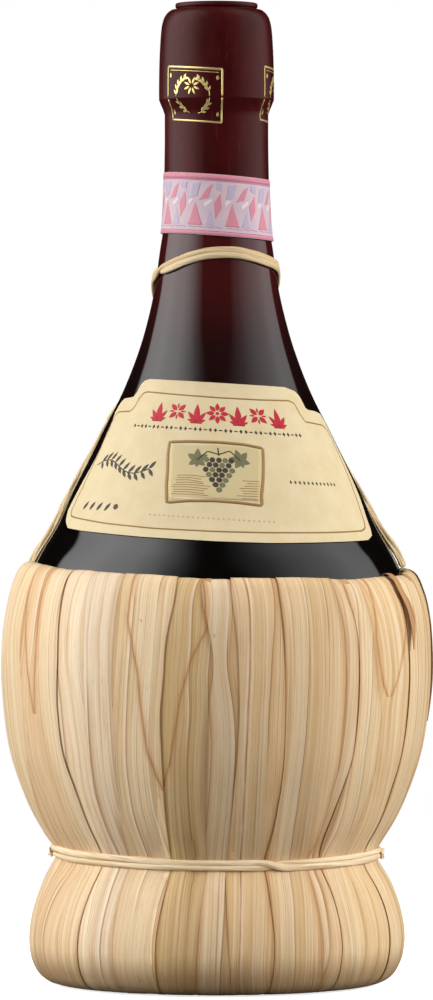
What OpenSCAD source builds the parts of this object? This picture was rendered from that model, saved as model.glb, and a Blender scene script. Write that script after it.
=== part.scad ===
// Straw-covered wine flask (fiasco), 750 ml.
// A round-bottomed blown flask stands in a basket of folded straw blades.
// The basket hangs from a twisted neck loop by two side strands, is drawn in by
// a cord at the waist and flares out again over a straw ring that it stands on.
// Z is up, the origin is the centre of the face it rests on, and the front with
// the label looks towards -Y. All sizes are in millimetres.

/* [Flask] */
// Thickness of the body wall
wall_body = 2.4; // [2:0.1:3]
// Thickness of the round bottom
wall_bottom = 4; // [3:0.5:5]
// Radius of the bore that holds the cork
bore_r = 9.25; // [9:0.05:9.4]
// Height of the wine surface above the rest face
wine_z = 196.4; // [150:0.2:200]

/* [Cork] */
// Length of the cork
cork_len = 38; // [30:1:38]
// Clearance round the cork in the bore
cork_gap = 0.05; // [0.02:0.01:0.1]

/* [Capsule] */
// Thickness of the shrunk film
film_t = 0.3; // [0.2:0.05:0.35]
// Height where the capsule is cut under the lip ring
cut_z = 235.3; // [235.2:0.1:237]
// Lower edge of the sleeve on the neck
sleeve_end_z = 203; // [202:1:210]
// Radius of the raised disc on top
disc_r = 10.95; // [10:0.05:11.2]

/* [Paper] */
// Height of the seal strip round the neck
strip_h = 16.2; // [12:0.2:17]
// Slope of the seal strip in degrees
strip_tilt = 4.2; // [0:0.2:5]
// Thickness of the label paper
paper_t = 0.2; // [0.12:0.02:0.3]
// Slope of the label in degrees
label_tilt = 3.5; // [0:0.5:5]
// Angle that the label reaches to each side of its middle
label_half_deg = 75; // [60:1:80]
// Angle that the label's upper tab reaches to each side
tab_half_deg = 56; // [30:1:58]

/* [Basket] */
// Number of outer blades
blades = 36; // [24:1:48]
// Thickness of an outer blade
blade_t = 0.8; // [0.6:0.1:0.8]
// Thickness of a blade in the layer below
under_t = 0.6; // [0.4:0.1:0.6]
// Gap between neighbouring outer blades in degrees
blade_gap = 0.7; // [0.4:0.1:1.5]
// Share of the pitch that a blade of the lower layer takes
under_share = 0.55; // [0.3:0.05:0.8]
// Radius of the cord inside the folded rim
rim_cord_r = 0.85; // [0.6:0.05:0.9]
// Radius of each turn of the waist cord
waist_cord_r = 0.8; // [0.6:0.05:0.8]
// Height of the braid that the basket stands on
foot_h = 1.5; // [1.2:0.1:1.5]

/* [Neck loop and strands] */
// Half the width of the loop's cord along the glass
loop_w = 1.45; // [1:0.05:1.5]
// Half the thickness of the loop's cord
loop_t = 0.95; // [0.7:0.05:1]
// Drop of the loop from its middle to its back
loop_drop = 8.3; // [4:0.1:9]
// Radius of a side strand
strand_r = 1.3; // [0.9:0.05:1.3]

/* [Hidden] */
$fn = 96;

// Outside of the flask from the bottom centre to under the lip ring, [r, z]
FLASK = [[0, 18], [14, 18], [24, 21.5], [33, 28.5], [39.5, 38], [44.5, 48],
         [48.5, 58], [51.2, 68], [52.7, 78], [53, 86], [52.6, 94], [51.6, 101],
         [50.2, 107], [47.2, 114], [42.4, 122], [38.3, 131], [34, 139.5],
         [29.8, 148], [25.5, 156.5], [22, 165], [19.2, 173.5], [16.7, 184],
         [15.1, 195], [14.35, 200], [13.9, 206], [13.6, 215], [13.45, 224],
         [13.45, 233]];
// Lip ring and mouth, [r, z]
mouth_z = 258.6;
LIP = [[14.6, 235], [14.8, 236.5], [14.75, 246], [14.4, 252.5], [13.9, 255.6],
       [13, 257.4], [11.8, 258.4], [10.6, mouth_z], [bore_r + 0.45, mouth_z],
       [bore_r, mouth_z - 0.5]];
// Wall thickness by height, [z, t]
WALL = [[18, wall_bottom], [28, wall_body + 0.6], [40, wall_body], [110, wall_body],
        [150, 2.8], [184, 3.6], [206, 4.1], [220, 4.15], [233, 4.2]];
// Outside of the basket from under the foot to the top of the rim, [r, z]
BASKET = [[33.5, 1.6], [38, 1.6], [42.6, 1.7], [45.6, 2.6], [47.7, 4.3],
          [49.3, 7], [50, 10.5], [50, 14], [49.4, 18], [47.9, 23],
          [45.9, 27.5], [43.8, 31], [42.7, 33.2], [42.7, 35.2], [44.1, 38],
          [47.3, 43], [50.1, 48.5], [52.7, 55], [54.6, 61], [56, 68],
          [57, 76], [57.5, 84], [57.3, 91], [56.6, 97.5], [55.3, 104],
          [54, 108], [52.5, 110.9], [50.9, 112.3]];
// The fold over the rim and down behind it, on the glass side, [r, z]
FLAP = [[49.5, 112.6], [48.6, 112], [48.8, 110.9], [49.7, 108.9], [50.45, 107.1]];
// Side strand: height, standoff from the glass, angle from the front
STRAND = [[174.6, 1.6, 147], [170, 1.7, 136], [160, 1.8, 121], [150, 2, 112],
          [140, 2.1, 106], [130, 2.2, 101], [120, 2, 97], [113.5, 1.75, 95.5]];
// Extra angle by which the right strand lies further back
strand_skew = 5;
// Middle height of the neck loop, and how much its right side is raised
loop_z = 185.9;
loop_rise = 1.2;

// A smooth curve through points, n steps between each two
function cr_pt(a, b, c, d, t) =
    0.5 * (2 * b + (c - a) * t + (2 * a - 5 * b + 4 * c - d) * t * t
           + (3 * b - a - 3 * c + d) * t * t * t);
function smooth(P, n) = concat(
    [for (i = [0:len(P) - 2]) for (k = [0:n - 1])
        cr_pt(P[max(i - 1, 0)], P[i], P[i + 1], P[min(i + 2, len(P) - 1)], k / n)],
    [P[len(P) - 1]]);
// Unit normal of a path at point i, to the right of its direction
function side(P, i) =
    let (d = P[min(i + 1, len(P) - 1)] - P[max(i - 1, 0)], l = norm(d))
    [d[1] / l, -d[0] / l];
// A path moved sideways by d
function shifted(P, d) = [for (i = [0:len(P) - 1]) P[i] + d * side(P, i)];
function back(P) = [for (i = [len(P) - 1:-1:0]) P[i]];
// The points of a path between two heights
function between(P, lo, hi) = [for (p = P) if (p[1] >= lo && p[1] <= hi) p];

FL = smooth(FLASK, 3);
// The flask's radius at a height on its upper half
FLZ = [for (p = FL) if (p[1] > 87) [p[1], p[0]]];
function flask_r(z) = lookup(z, FLZ);
function flask_lean(z) = (flask_r(z - 1) - flask_r(z + 1)) / 2;
INNER = [for (i = [0:len(FL) - 1]) let (p = FL[i] - lookup(FL[i][1], WALL) * side(FL, i))
         [i == 0 ? 0 : p[0], p[1]]];
INNER_LOW = [for (p = INNER) if (p[1] < 219) p];

// A thin shell that follows the flask between two heights
module shell(lo, hi, from, thick) {
    band = [for (i = [0:len(FL) - 1]) if (FL[i][1] > lo && FL[i][1] < hi && FL[i][1] > 90) i];
    in = [for (i = band) FL[i] + from * side(FL, i)];
    out = [for (i = band) FL[i] + (from + thick) * side(FL, i)];
    polygon(concat(in, back(out)));
}

// A tube of width 2w and thickness 2t that lies on the flask, along points [r, z, angle from the front]
function place(c) = [c[0] * sin(c[2]), -c[0] * cos(c[2]), c[1]];
function unit(v) = v / norm(v);
module sweep(C, w, t, closed = false, sides = 8) {
    n = len(C);
    P = [for (c = C) place(c)];
    function tan_at(i) = unit(closed ? P[(i + 1) % n] - P[(i + n - 1) % n]
                                     : P[min(i + 1, n - 1)] - P[max(i - 1, 0)]);
    rings = [for (i = [0:n - 1])
        let (T = tan_at(i), R = [sin(C[i][2]), -cos(C[i][2]), 0],
             U0 = R + [0, 0, flask_lean(C[i][1])], U = unit(U0 - (U0 * T) * T), V = cross(T, U))
        for (k = [0:sides - 1])
            P[i] + w * cos(360 * k / sides) * V + t * sin(360 * k / sides) * U];
    loops = closed ? n : n - 1;
    walls = [for (i = [0:loops - 1]) for (k = [0:sides - 1])
        let (a = i * sides + k, b = i * sides + (k + 1) % sides,
             c = ((i + 1) % n) * sides + (k + 1) % sides, d = ((i + 1) % n) * sides + k)
        [a, b, c, d]];
    caps = closed ? [] : [[for (k = [sides - 1:-1:0]) k],
                          [for (k = [0:sides - 1]) (n - 1) * sides + k]];
    polyhedron(points = rings, faces = concat(walls, caps), convexity = 6);
}

module glass_bottle() {
    outer = concat(FL, LIP);
    inner = concat([[bore_r, 219.2]], back(INNER_LOW));
    color([0.05, 0.07, 0.05]) rotate_extrude() polygon(concat(outer, inner));
}

module wine_fill() {
    skin = [for (i = [0:len(INNER) - 1]) if (INNER[i][1] < wine_z - 1)
            let (p = INNER[i] - 0.1 * side(FL, i)) [i == 0 ? 0 : p[0], p[1]]];
    top_r = skin[len(skin) - 1][0] - 0.15;
    color([0.2, 0.01, 0.03]) rotate_extrude()
        polygon(concat(skin, [[top_r, wine_z], [0, wine_z]]));
}

module cork() {
    r = bore_r - cork_gap;
    top = mouth_z - 0.4;
    color([0.76, 0.6, 0.42]) translate([0, 0, top - cork_len]) rotate_extrude()
        polygon([[0, 0], [r - 0.6, 0], [r, 0.6], [r, cork_len - 0.6],
                 [r - 0.6, cork_len], [0, cork_len]]);
}

module capsule_cap() {
    t = film_t;
    color([0.35, 0.13, 0.15]) rotate_extrude()
        polygon([[15.3, cut_z + 0.1], [15.32, 239], [15.2, 246], [14.85, 252.6],
                 [14.4, 255.8], [13.6, 257.8], [12.4, 259], [11.4, 259.3], [9, 259.3],
                 [9, 259.3 - t], [11.35, 259.3 - t], [12.25, 259 - t],
                 [13.6 - 0.8 * t, 257.8 - 0.7 * t], [14.4 - t, 255.8 - 0.2 * t],
                 [14.85 - t, 252.6], [15.2 - t, 246], [15.32 - t, 239],
                 [15.3 - t, cut_z + 0.1]]);
}

module capsule_top_disc() {
    r = disc_r;
    color([0.3, 0.1, 0.12]) rotate_extrude()
        polygon([[0, 259.4], [r - 0.65, 259.4], [r - 0.6, 259.65], [r - 0.15, 259.8],
                 [r, 260.05], [r, 260.65], [r - 0.12, 260.88], [r - 0.35, 261],
                 [r - 1.2, 261], [r - 1.6, 260.8], [0, 260.8]]);
}

module capsule_sleeve() {
    t = film_t;
    band = [for (i = [0:len(FL) - 1])
            if (FL[i][1] >= sleeve_end_z && FL[i][1] < 231.5) i];
    out = [for (i = band) FL[i] + (0.05 + t) * side(FL, i)];
    in = [for (i = band) FL[i] + 0.05 * side(FL, i)];
    color([0.35, 0.13, 0.15]) rotate_extrude()
        polygon(concat(out,
            [[13.8 + t, 232.2], [14.05 + t, 232.9], [14.75 + t, 234.6], [15 + t, cut_z - 0.1],
             [15, cut_z - 0.1], [14.75, 234.75], [14.1, 233.1], [13.8, 232.4]], back(in)));
}

module seal_strip() {
    color([0.85, 0.6, 0.7]) intersection() {
        rotate_extrude() shell(194, 222, film_t + 0.1, 0.15);
        translate([0, 0, 206.8]) rotate([0, strip_tilt, 0])
            translate([0, 0, -strip_h / 2]) cylinder(r = 40, h = strip_h);
    }
}

// The label: a band of the shoulder with a straight foot, stepped up to a tab in its middle
module front_label() {
    mid = 3 - 90;
    color([0.9, 0.87, 0.74]) difference() {
        intersection() {
            rotate([0, 0, mid - label_half_deg]) rotate_extrude(angle = 2 * label_half_deg)
                shell(110, 170, 0.06, paper_t);
            translate([0, 0, 119.9]) rotate([0, label_tilt, 0]) cylinder(r = 80, h = 39.4);
        }
        for (from = [mid + tab_half_deg, mid - tab_half_deg - 40])
            translate([0, 0, 153.6]) rotate([0, label_tilt, 0]) rotate([0, 0, from])
                rotate_extrude(angle = 40) translate([8, 0]) square([60, 20]);
    }
}

module neck_loop() {
    n = 40;
    C = [for (i = [0:n - 1])
         let (a = 360 * i / n, z = loop_z + loop_drop * cos(a) + loop_rise * sin(a))
         [flask_r(z) + loop_t + 0.2, z, a]];
    color([0.83, 0.76, 0.6]) sweep(C, loop_w, loop_t, closed = true);
}

// skew 0 is the left strand's own course; dir is -1 for left and 1 for right
function strand_course(dir, skew) =
    [for (q = smooth(STRAND, 4))
     [flask_r(q[0]) + q[1], q[0], dir * (q[2] + skew * (q[0] < 120 ? 0.8 : 1))]];
module strand_left() {
    color([0.85, 0.76, 0.58]) sweep(strand_course(-1, 0), strand_r, strand_r);
}
module strand_right() {
    color([0.85, 0.76, 0.58]) sweep(strand_course(1, strand_skew), strand_r, strand_r);
}

// The wraps that tie each strand to the back of the loop
module strand_knots() {
    for (q = [[-153, 0.6], [158, 0]]) color([0.8, 0.7, 0.5])
        rotate([0, 0, q[0] - 90]) translate([flask_r(178) + 3.95, 0, 177.6 - q[1]])
            rotate([0, -30, 0]) rotate_extrude()
                polygon([[0, -1.7], [0.8, -1.6], [1.15, -0.8], [1.25, 0], [1.15, 0.8],
                         [0.8, 1.6], [0, 1.7]]);
}

module rim_cord() {
    color([0.8, 0.68, 0.46]) rotate_extrude() translate([51.5, 109.4])
        circle(r = rim_cord_r, $fn = 32);
}

module basket_lining() {
    out = between(shifted(BASKET, -(blade_t + under_t + 0.25)), 33.6, 107.6);
    in = between(shifted(FL, 0.35), 33.6, 106.4);
    color([0.72, 0.6, 0.38]) rotate_extrude() polygon(concat(in, back(out)));
}

// One blade w degrees wide whose outer face lies d inside the basket's outside
module blade(P, d, t, w, az) {
    A = shifted(P, -d);
    B = shifted(P, -d - t);
    rotate([0, 0, az - w / 2]) rotate_extrude(angle = w) polygon(concat(A, back(B)));
}
module under_blades() {
    pitch = 360 / blades;
    side_path = between(BASKET, 4, 105);
    color([0.8, 0.66, 0.44]) for (i = [0:blades - 1])
        blade(side_path, blade_t + 0.1, under_t, pitch * under_share, (i + 0.5) * pitch - 90);
}
module outer_blades() {
    pitch = 360 / blades;
    color([0.9, 0.8, 0.64]) for (i = [0:blades - 1])
        blade(concat(BASKET, FLAP), 0, blade_t, pitch - blade_gap, i * pitch - 90);
}

module waist_turn(z) {
    rotate_extrude() translate([42.75 + waist_cord_r, z]) circle(r = waist_cord_r, $fn = 32);
}
module waist_cord_upper() {
    color([0.92, 0.86, 0.74]) waist_turn(34.2 + waist_cord_r + 0.05);
}
module waist_cord_lower() {
    color([0.92, 0.86, 0.74]) waist_turn(34.2 - waist_cord_r - 0.05);
}

// The two ends of the waist cord, knotted at the sides
module waist_knots() {
    for (a = [-4, 183]) color([0.9, 0.82, 0.66])
        rotate([0, 0, a]) translate([45.45, 0, 34.2]) rotate_extrude()
            polygon([[0, -1.9], [0.6, -1.7], [0.95, -0.9], [1, 0], [0.95, 0.9],
                     [0.6, 1.7], [0, 1.9]]);
}

// The thick ring of bundled straw that carries the flask's round bottom
module base_ring() {
    out = between(shifted(BASKET, -(blade_t + under_t + 0.3)), 3.2, 32.6);
    in = [for (p = between(shifted(FL, 0.35), 20.5, 32.6)) if (p[0] > 24.2) p];
    color([0.7, 0.58, 0.36]) rotate_extrude()
        polygon(concat([[24, 2.7], [41.6, 2.7]], out, back(in), [[24, 20.9]]));
}

module foot_braid() {
    color([0.72, 0.6, 0.4]) rotate_extrude()
        polygon([[32.5, 0], [40.9, 0], [41.3, 0.4], [41.3, foot_h], [32.5, foot_h]]);
}

glass_bottle();
wine_fill();
cork();
capsule_cap();
capsule_top_disc();
capsule_sleeve();
seal_strip();
front_label();
neck_loop();
strand_left();
strand_right();
strand_knots();
rim_cord();
basket_lining();
under_blades();
outer_blades();
waist_cord_upper();
waist_cord_lower();
waist_knots();
base_ring();
foot_braid();
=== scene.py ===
"""Looks of the straw covered wine flask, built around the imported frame."""
import math
import bpy
import numpy as np
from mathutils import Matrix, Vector


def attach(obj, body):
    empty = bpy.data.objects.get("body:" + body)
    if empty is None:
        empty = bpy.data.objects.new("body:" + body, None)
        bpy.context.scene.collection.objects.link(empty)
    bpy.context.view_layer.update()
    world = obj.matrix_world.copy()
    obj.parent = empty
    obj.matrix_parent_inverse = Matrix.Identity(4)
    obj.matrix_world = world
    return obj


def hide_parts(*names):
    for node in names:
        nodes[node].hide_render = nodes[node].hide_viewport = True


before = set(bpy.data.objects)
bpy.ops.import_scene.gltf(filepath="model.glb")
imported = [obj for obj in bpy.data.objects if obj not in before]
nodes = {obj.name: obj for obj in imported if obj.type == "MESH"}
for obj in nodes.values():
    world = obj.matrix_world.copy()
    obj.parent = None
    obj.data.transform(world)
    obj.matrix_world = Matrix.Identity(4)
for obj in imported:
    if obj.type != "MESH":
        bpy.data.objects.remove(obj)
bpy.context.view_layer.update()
scene = bpy.context.scene
MM = 0.001

# ---------------------------------------------------------------- numbers shared with the part
FLASK = [[0, 18], [14, 18], [24, 21.5], [33, 28.5], [39.5, 38], [44.5, 48],
         [48.5, 58], [51.2, 68], [52.7, 78], [53, 86], [52.6, 94], [51.6, 101],
         [50.2, 107], [47.2, 114], [42.4, 122], [38.3, 131], [34, 139.5],
         [29.8, 148], [25.5, 156.5], [22, 165], [19.2, 173.5], [16.7, 184],
         [15.1, 195], [14.35, 200], [13.9, 206], [13.6, 215], [13.45, 224],
         [13.45, 233]]
LIP = [[14.6, 235], [14.8, 236.5], [14.75, 246], [14.4, 252.5], [13.9, 255.6],
       [13, 257.4], [11.8, 258.4], [10.6, 258.6], [9.7, 258.6], [9.25, 258.1]]
WALL = [[18, 4], [28, 3], [40, 2.4], [110, 2.4], [150, 2.8], [184, 3.6], [206, 4.1],
        [220, 4.15], [233, 4.2]]
BASKET = [[33.5, 1.6], [38, 1.6], [42.6, 1.7], [45.6, 2.6], [47.7, 4.3],
          [49.3, 7], [50, 10.5], [50, 14], [49.4, 18], [47.9, 23],
          [45.9, 27.5], [43.8, 31], [42.7, 33.2], [42.7, 35.2], [44.1, 38],
          [47.3, 43], [50.1, 48.5], [52.7, 55], [54.6, 61], [56, 68],
          [57, 76], [57.5, 84], [57.3, 91], [56.6, 97.5], [55.3, 104],
          [54, 108], [52.5, 110.9], [50.9, 112.3]]
FLAP = [[49.5, 112.6], [48.6, 112], [48.8, 110.9], [49.7, 108.9], [50.45, 107.1]]
STRAND = [[174.6, 1.6, 147], [170, 1.7, 136], [160, 1.8, 121], [150, 2, 112],
          [140, 2.1, 106], [130, 2.2, 101], [120, 2, 97], [113.5, 1.75, 95.5]]
WAIST_Z = 34.2


# ---------------------------------------------------------------- numbers and curves
def spline(P, n):
    """A smooth curve through points, n steps between each two."""
    P = np.asarray(P, float)
    out = []
    for i in range(len(P) - 1):
        a, b, c, d = P[max(i - 1, 0)], P[i], P[i + 1], P[min(i + 2, len(P) - 1)]
        for k in range(n):
            t = k / n
            out.append(0.5 * (2 * b + (c - a) * t + (2 * a - 5 * b + 4 * c - d) * t * t
                              + (3 * b - a - 3 * c + d) * t ** 3))
    out.append(P[-1])
    return np.array(out)


def normals2(P):
    d = np.gradient(P, axis=0)
    d[0], d[-1] = P[1] - P[0], P[-1] - P[-2]
    l = np.linalg.norm(d, axis=1)[:, None]
    d = d / np.maximum(l, 1e-9)
    return np.stack([d[:, 1], -d[:, 0]], 1)


def arc(P):
    return np.concatenate([[0], np.cumsum(np.linalg.norm(np.diff(P, axis=0), axis=1))])


def smooth01(x, a, b):
    t = np.clip((np.asarray(x, float) - a) / (b - a), 0, 1)
    return t * t * (3 - 2 * t)


TAB = np.random.default_rng(11).random(8192)


def noise2(x, y, seed=0):
    """Smooth value noise, -1 to 1."""
    x, y = np.broadcast_arrays(np.asarray(x, float), np.asarray(y, float))
    i, j = np.floor(x).astype(int), np.floor(y).astype(int)
    f, g = x - i, y - j
    f, g = f * f * (3 - 2 * f), g * g * (3 - 2 * g)

    def at(a, b):
        return TAB[(a * 1619 + b * 3137 + seed * 6971 + (a * b) * 13) % 8192]
    v = (at(i, j) * (1 - f) + at(i + 1, j) * f) * (1 - g) \
        + (at(i, j + 1) * (1 - f) + at(i + 1, j + 1) * f) * g
    return v * 2 - 1


def ring_noise(az, k, y, seed=0):
    """Noise that closes round the circle: k is its number of waves round it."""
    a = np.radians(az)
    R = k / (2 * math.pi)
    return noise2(R * np.cos(a) + 37.3 + y, R * np.sin(a) + 91.7 + y * 0.37, seed)


FL = spline(FLASK, 8)
FL_N = normals2(FL)
_up = FL[:, 1] > 86


def flask_r(z):
    return np.interp(z, FL[_up, 1], FL[_up, 0])


def flask_lean(z):
    return (flask_r(np.asarray(z) - 1) - flask_r(np.asarray(z) + 1)) / 2


def polar(r, z, az):
    """Millimetres and degrees from the front to a point in metres."""
    a = np.radians(az)
    r, z, a = np.broadcast_arrays(r, z, a)
    return np.stack([r * np.sin(a), -r * np.cos(a), z], -1) * MM


# ---------------------------------------------------------------- mesh building
class Soup:
    """Vertices, faces, vertex attributes and bake coordinates of one piece."""

    def __init__(self):
        self.v, self.f, self.uv, self.a, self.n = [], [], [], {}, 0

    def add(self, verts, faces, uvs=None, **attrs):
        verts = np.asarray(verts, float).reshape(-1, 3)
        m = len(verts)
        for f in faces:
            self.f.append(np.asarray(f, int) + self.n)
        self.uv += list(uvs) if uvs is not None else [None] * len(faces)
        self.v.append(verts)
        for k, val in attrs.items():
            val = np.asarray(val, float)
            if val.ndim == 1:
                val = np.broadcast_to(val, (m, len(val)))
            self.a.setdefault(k, []).append((self.n, val.reshape(m, -1)))
        self.n += m
        return self

    def grid(self, P, wrap_u=False, wrap_v=False, uv=None, cap=False, **attrs):
        """P is (rows, columns, 3). wrap_v joins the last column to the first, wrap_u the last row."""
        m, n = P.shape[:2]
        i = np.arange(m if wrap_u else m - 1)[:, None]
        j = np.arange(n if wrap_v else n - 1)[None, :]
        a = i * n + j
        b = i * n + (j + 1) % n
        c = ((i + 1) % m) * n + (j + 1) % n
        d = ((i + 1) % m) * n + j
        q = np.stack([a, b, c, d], -1).reshape(-1, 4)
        faces, uvs = [q], [None]
        if uv is not None:
            U = np.stack([uv[i, j], uv[i, j + 1], uv[i + 1, j + 1], uv[i + 1, j]], 2)
            uvs = [U.reshape(-1, 4, 2)]
        attrs = {k: np.asarray(w, float).reshape(m * n, -1) if np.asarray(w).ndim > 1
                 else w for k, w in attrs.items()}
        if cap:
            lo = np.arange(n)[::-1][None, :]
            hi = ((m - 1) * n + np.arange(n))[None, :]
            faces += [lo, hi]
            uvs += [None if uv is None else uv[0, :n][::-1][None], None if uv is None
                    else uv[m - 1, :n][None]]
        return self.add(P.reshape(-1, 3), faces, uvs, **attrs)

    def mesh(self, name):
        V = np.concatenate(self.v)
        me = bpy.data.meshes.new(name)
        me.vertices.add(len(V))
        me.vertices.foreach_set("co", V.astype(np.float32).ravel())
        counts = np.concatenate([np.full(len(f), f.shape[1]) for f in self.f])
        loops = np.concatenate([f.ravel() for f in self.f])
        me.loops.add(len(loops))
        me.loops.foreach_set("vertex_index", loops.astype(np.int32))
        me.polygons.add(len(counts))
        starts = np.concatenate([[0], np.cumsum(counts)[:-1]])
        me.polygons.foreach_set("loop_start", starts.astype(np.int32))
        me.polygons.foreach_set("use_smooth", np.ones(len(counts), bool))
        if all(u is not None for u in self.uv):
            layer = me.uv_layers.new(name="OFBake")
            layer.data.foreach_set("uv", np.concatenate(
                [np.asarray(u, float).reshape(-1, 2) for u in self.uv]).astype(np.float32).ravel())
        for k, parts in self.a.items():
            w = parts[0][1].shape[1]
            kind, field = {1: ("FLOAT", "value"), 3: ("FLOAT_VECTOR", "vector"),
                           4: ("FLOAT_COLOR", "color")}[w]
            data = np.zeros((len(V), w), np.float32)
            for at, val in parts:
                data[at:at + len(val)] = val
            me.attributes.new(k, kind, "POINT").data.foreach_set(field, data.ravel())
        me.update(calc_edges=True)
        me.validate()
        return me


def piece(name, soup, mat, body="flask", replaces=(), sharp=None):
    me = soup.mesh(name) if isinstance(soup, Soup) else soup
    ob = bpy.data.objects.new(name, me)
    scene.collection.objects.link(ob)
    me.materials.append(mat)
    if sharp:
        me.set_sharp_from_angle(angle=math.radians(sharp))
    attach(ob, body)
    if replaces:
        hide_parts(*replaces)
    return ob


def lathe(soup, prof, seg=192, wave=None, **attrs):
    """A profile of [r, z] in millimetres turned round the axis. Points on the axis become poles."""
    prof = np.asarray(prof, float)
    az = np.arange(seg) * 360 / seg
    start, end = prof[0, 0] < 1e-6, prof[-1, 0] < 1e-6
    body = prof[(1 if start else 0):(len(prof) - 1 if end else len(prof))]
    r = body[:, :1] + np.zeros((1, seg))
    if wave is not None:
        r = r + wave(az[None, :], body[:, 1:2])
    P = polar(r, body[:, 1:2], az[None, :])
    m = len(body)
    v = P.reshape(-1, 3)
    i, j = np.arange(m - 1)[:, None], np.arange(seg)[None, :]
    q = np.stack([i * seg + j, i * seg + (j + 1) % seg, (i + 1) * seg + (j + 1) % seg,
                  (i + 1) * seg + j], -1).reshape(-1, 4)
    faces = [q]
    extra = []
    k = np.arange(seg)
    if start:
        extra.append(polar(0, prof[0, 1], 0))
        faces.append(np.stack([np.full(seg, m * seg), (k + 1) % seg, k], -1))
    if end:
        extra.append(polar(0, prof[-1, 1], 0))
        faces.append(np.stack([np.full(seg, m * seg + len(extra) - 1),
                               (m - 1) * seg + k, (m - 1) * seg + (k + 1) % seg], -1))
    if extra:
        v = np.concatenate([v, np.array(extra).reshape(-1, 3)])
    return soup.add(v, faces, **attrs)


def closed_lathe(soup, prof, seg=192, wave=None):
    """A closed ring profile, such as a sleeve's section."""
    prof = np.asarray(prof, float)
    az = np.arange(seg) * 360 / seg
    r = prof[:, :1] + np.zeros((1, seg))
    if wave is not None:
        r = r + wave(az[None, :], prof[:, 1:2])
    P = polar(r, prof[:, 1:2], az[None, :])
    return soup.grid(P, wrap_u=True, wrap_v=True)


# ---------------------------------------------------------------- materials
def hexc(h, a=1.0):
    c = [int(h[k:k + 2], 16) / 255 for k in (1, 3, 5)]
    return tuple(x / 12.92 if x <= 0.04045 else ((x + 0.055) / 1.055) ** 2.4 for x in c) + (a,)


class Mat:
    """A Principled material and short ways to add its nodes."""

    def __init__(self, name):
        self.m = bpy.data.materials.new(name)
        self.m.use_nodes = True
        self.t = self.m.node_tree
        self.t.nodes.clear()
        self.out = self.t.nodes.new("ShaderNodeOutputMaterial")
        self.b = self.t.nodes.new("ShaderNodeBsdfPrincipled")
        self.t.links.new(self.b.outputs[0], self.out.inputs[0])

    def put(self, sock, val):
        if isinstance(val, bpy.types.NodeSocket):
            self.t.links.new(val, sock)
        elif sock.type == "RGBA" and isinstance(val, (int, float)):
            sock.default_value = (val, val, val, 1)
        elif sock.type == "RGBA":
            sock.default_value = tuple(val) + ((1,) if len(val) == 3 else ())
        else:
            sock.default_value = val

    def set(self, **kw):
        for k, v in kw.items():
            self.put(self.b.inputs[k.replace("_", " ")], v)
        return self

    def math(self, op, a, b=0.0, c=None, clamp=False):
        n = self.t.nodes.new("ShaderNodeMath")
        n.operation, n.use_clamp = op, clamp
        self.put(n.inputs[0], a)
        self.put(n.inputs[1], b)
        if c is not None:
            self.put(n.inputs[2], c)
        return n.outputs[0]

    def mul(self, a, b): return self.math("MULTIPLY", a, b)
    def plus(self, a, b): return self.math("ADD", a, b)

    def attr(self, name, out="Vector"):
        n = self.t.nodes.new("ShaderNodeAttribute")
        n.attribute_name = name
        return n.outputs[out]

    def alpha(self, name):
        return self.attr(name, "Alpha")

    def xyz(self, v):
        n = self.t.nodes.new("ShaderNodeSeparateXYZ")
        self.put(n.inputs[0], v)
        return n.outputs

    def vec(self, x, y, z=0.0):
        n = self.t.nodes.new("ShaderNodeCombineXYZ")
        for k, v in enumerate((x, y, z)):
            self.put(n.inputs[k], v)
        return n.outputs[0]

    def scaled(self, v, x, y, z=1.0):
        n = self.t.nodes.new("ShaderNodeVectorMath")
        n.operation = "MULTIPLY"
        self.put(n.inputs[0], v)
        n.inputs[1].default_value = (x, y, z)
        return n.outputs[0]

    def noise(self, v, scale=1.0, detail=3.0, rough=0.55, distort=0.0):
        n = self.t.nodes.new("ShaderNodeTexNoise")
        self.put(n.inputs["Vector"], v)
        n.inputs["Scale"].default_value = scale
        n.inputs["Detail"].default_value = detail
        n.inputs["Roughness"].default_value = rough
        n.inputs["Distortion"].default_value = distort
        return n.outputs[0]

    def wave(self, v, scale, distort=0.0, detail=2.0, dscale=1.0, axis="X"):
        n = self.t.nodes.new("ShaderNodeTexWave")
        n.bands_direction = axis
        self.put(n.inputs["Vector"], v)
        n.inputs["Scale"].default_value = scale
        n.inputs["Distortion"].default_value = distort
        n.inputs["Detail"].default_value = detail
        n.inputs["Detail Scale"].default_value = dscale
        return n.outputs[1]

    def map(self, v, a, b, c=0.0, d=1.0, smooth=False):
        n = self.t.nodes.new("ShaderNodeMapRange")
        n.interpolation_type = "SMOOTHSTEP" if smooth else "LINEAR"
        self.put(n.inputs[0], v)
        for k, x in enumerate((a, b, c, d)):
            self.put(n.inputs[k + 1], x)
        return n.outputs[0]

    def mix(self, f, a, b, how="MIX"):
        n = self.t.nodes.new("ShaderNodeMix")
        n.data_type = "RGBA"
        n.blend_type = how
        n.clamp_factor = True
        self.put(n.inputs[0], f)
        self.put(n.inputs[6], a)
        self.put(n.inputs[7], b)
        return n.outputs[2]

    def ramp(self, f, stops):
        n = self.t.nodes.new("ShaderNodeValToRGB")
        self.put(n.inputs[0], f)
        e = n.color_ramp.elements
        while len(e) < len(stops):
            e.new(0.5)
        for k, (p, c) in enumerate(stops):
            e[k].position = p
            e[k].color = c if len(c) == 4 else tuple(c) + (1,)
        return n.outputs[0]

    def bump(self, height, dist, strength=1.0, normal=None):
        n = self.t.nodes.new("ShaderNodeBump")
        n.inputs["Strength"].default_value = strength
        n.inputs["Distance"].default_value = dist
        self.put(n.inputs["Height"], height)
        if normal is not None:
            self.put(n.inputs["Normal"], normal)
        return n.outputs[0]

    def obj(self):
        """Object coordinates in millimetres."""
        n = self.t.nodes.new("ShaderNodeTexCoord")
        return self.scaled(n.outputs["Object"], 1000, 1000, 1000)


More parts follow.
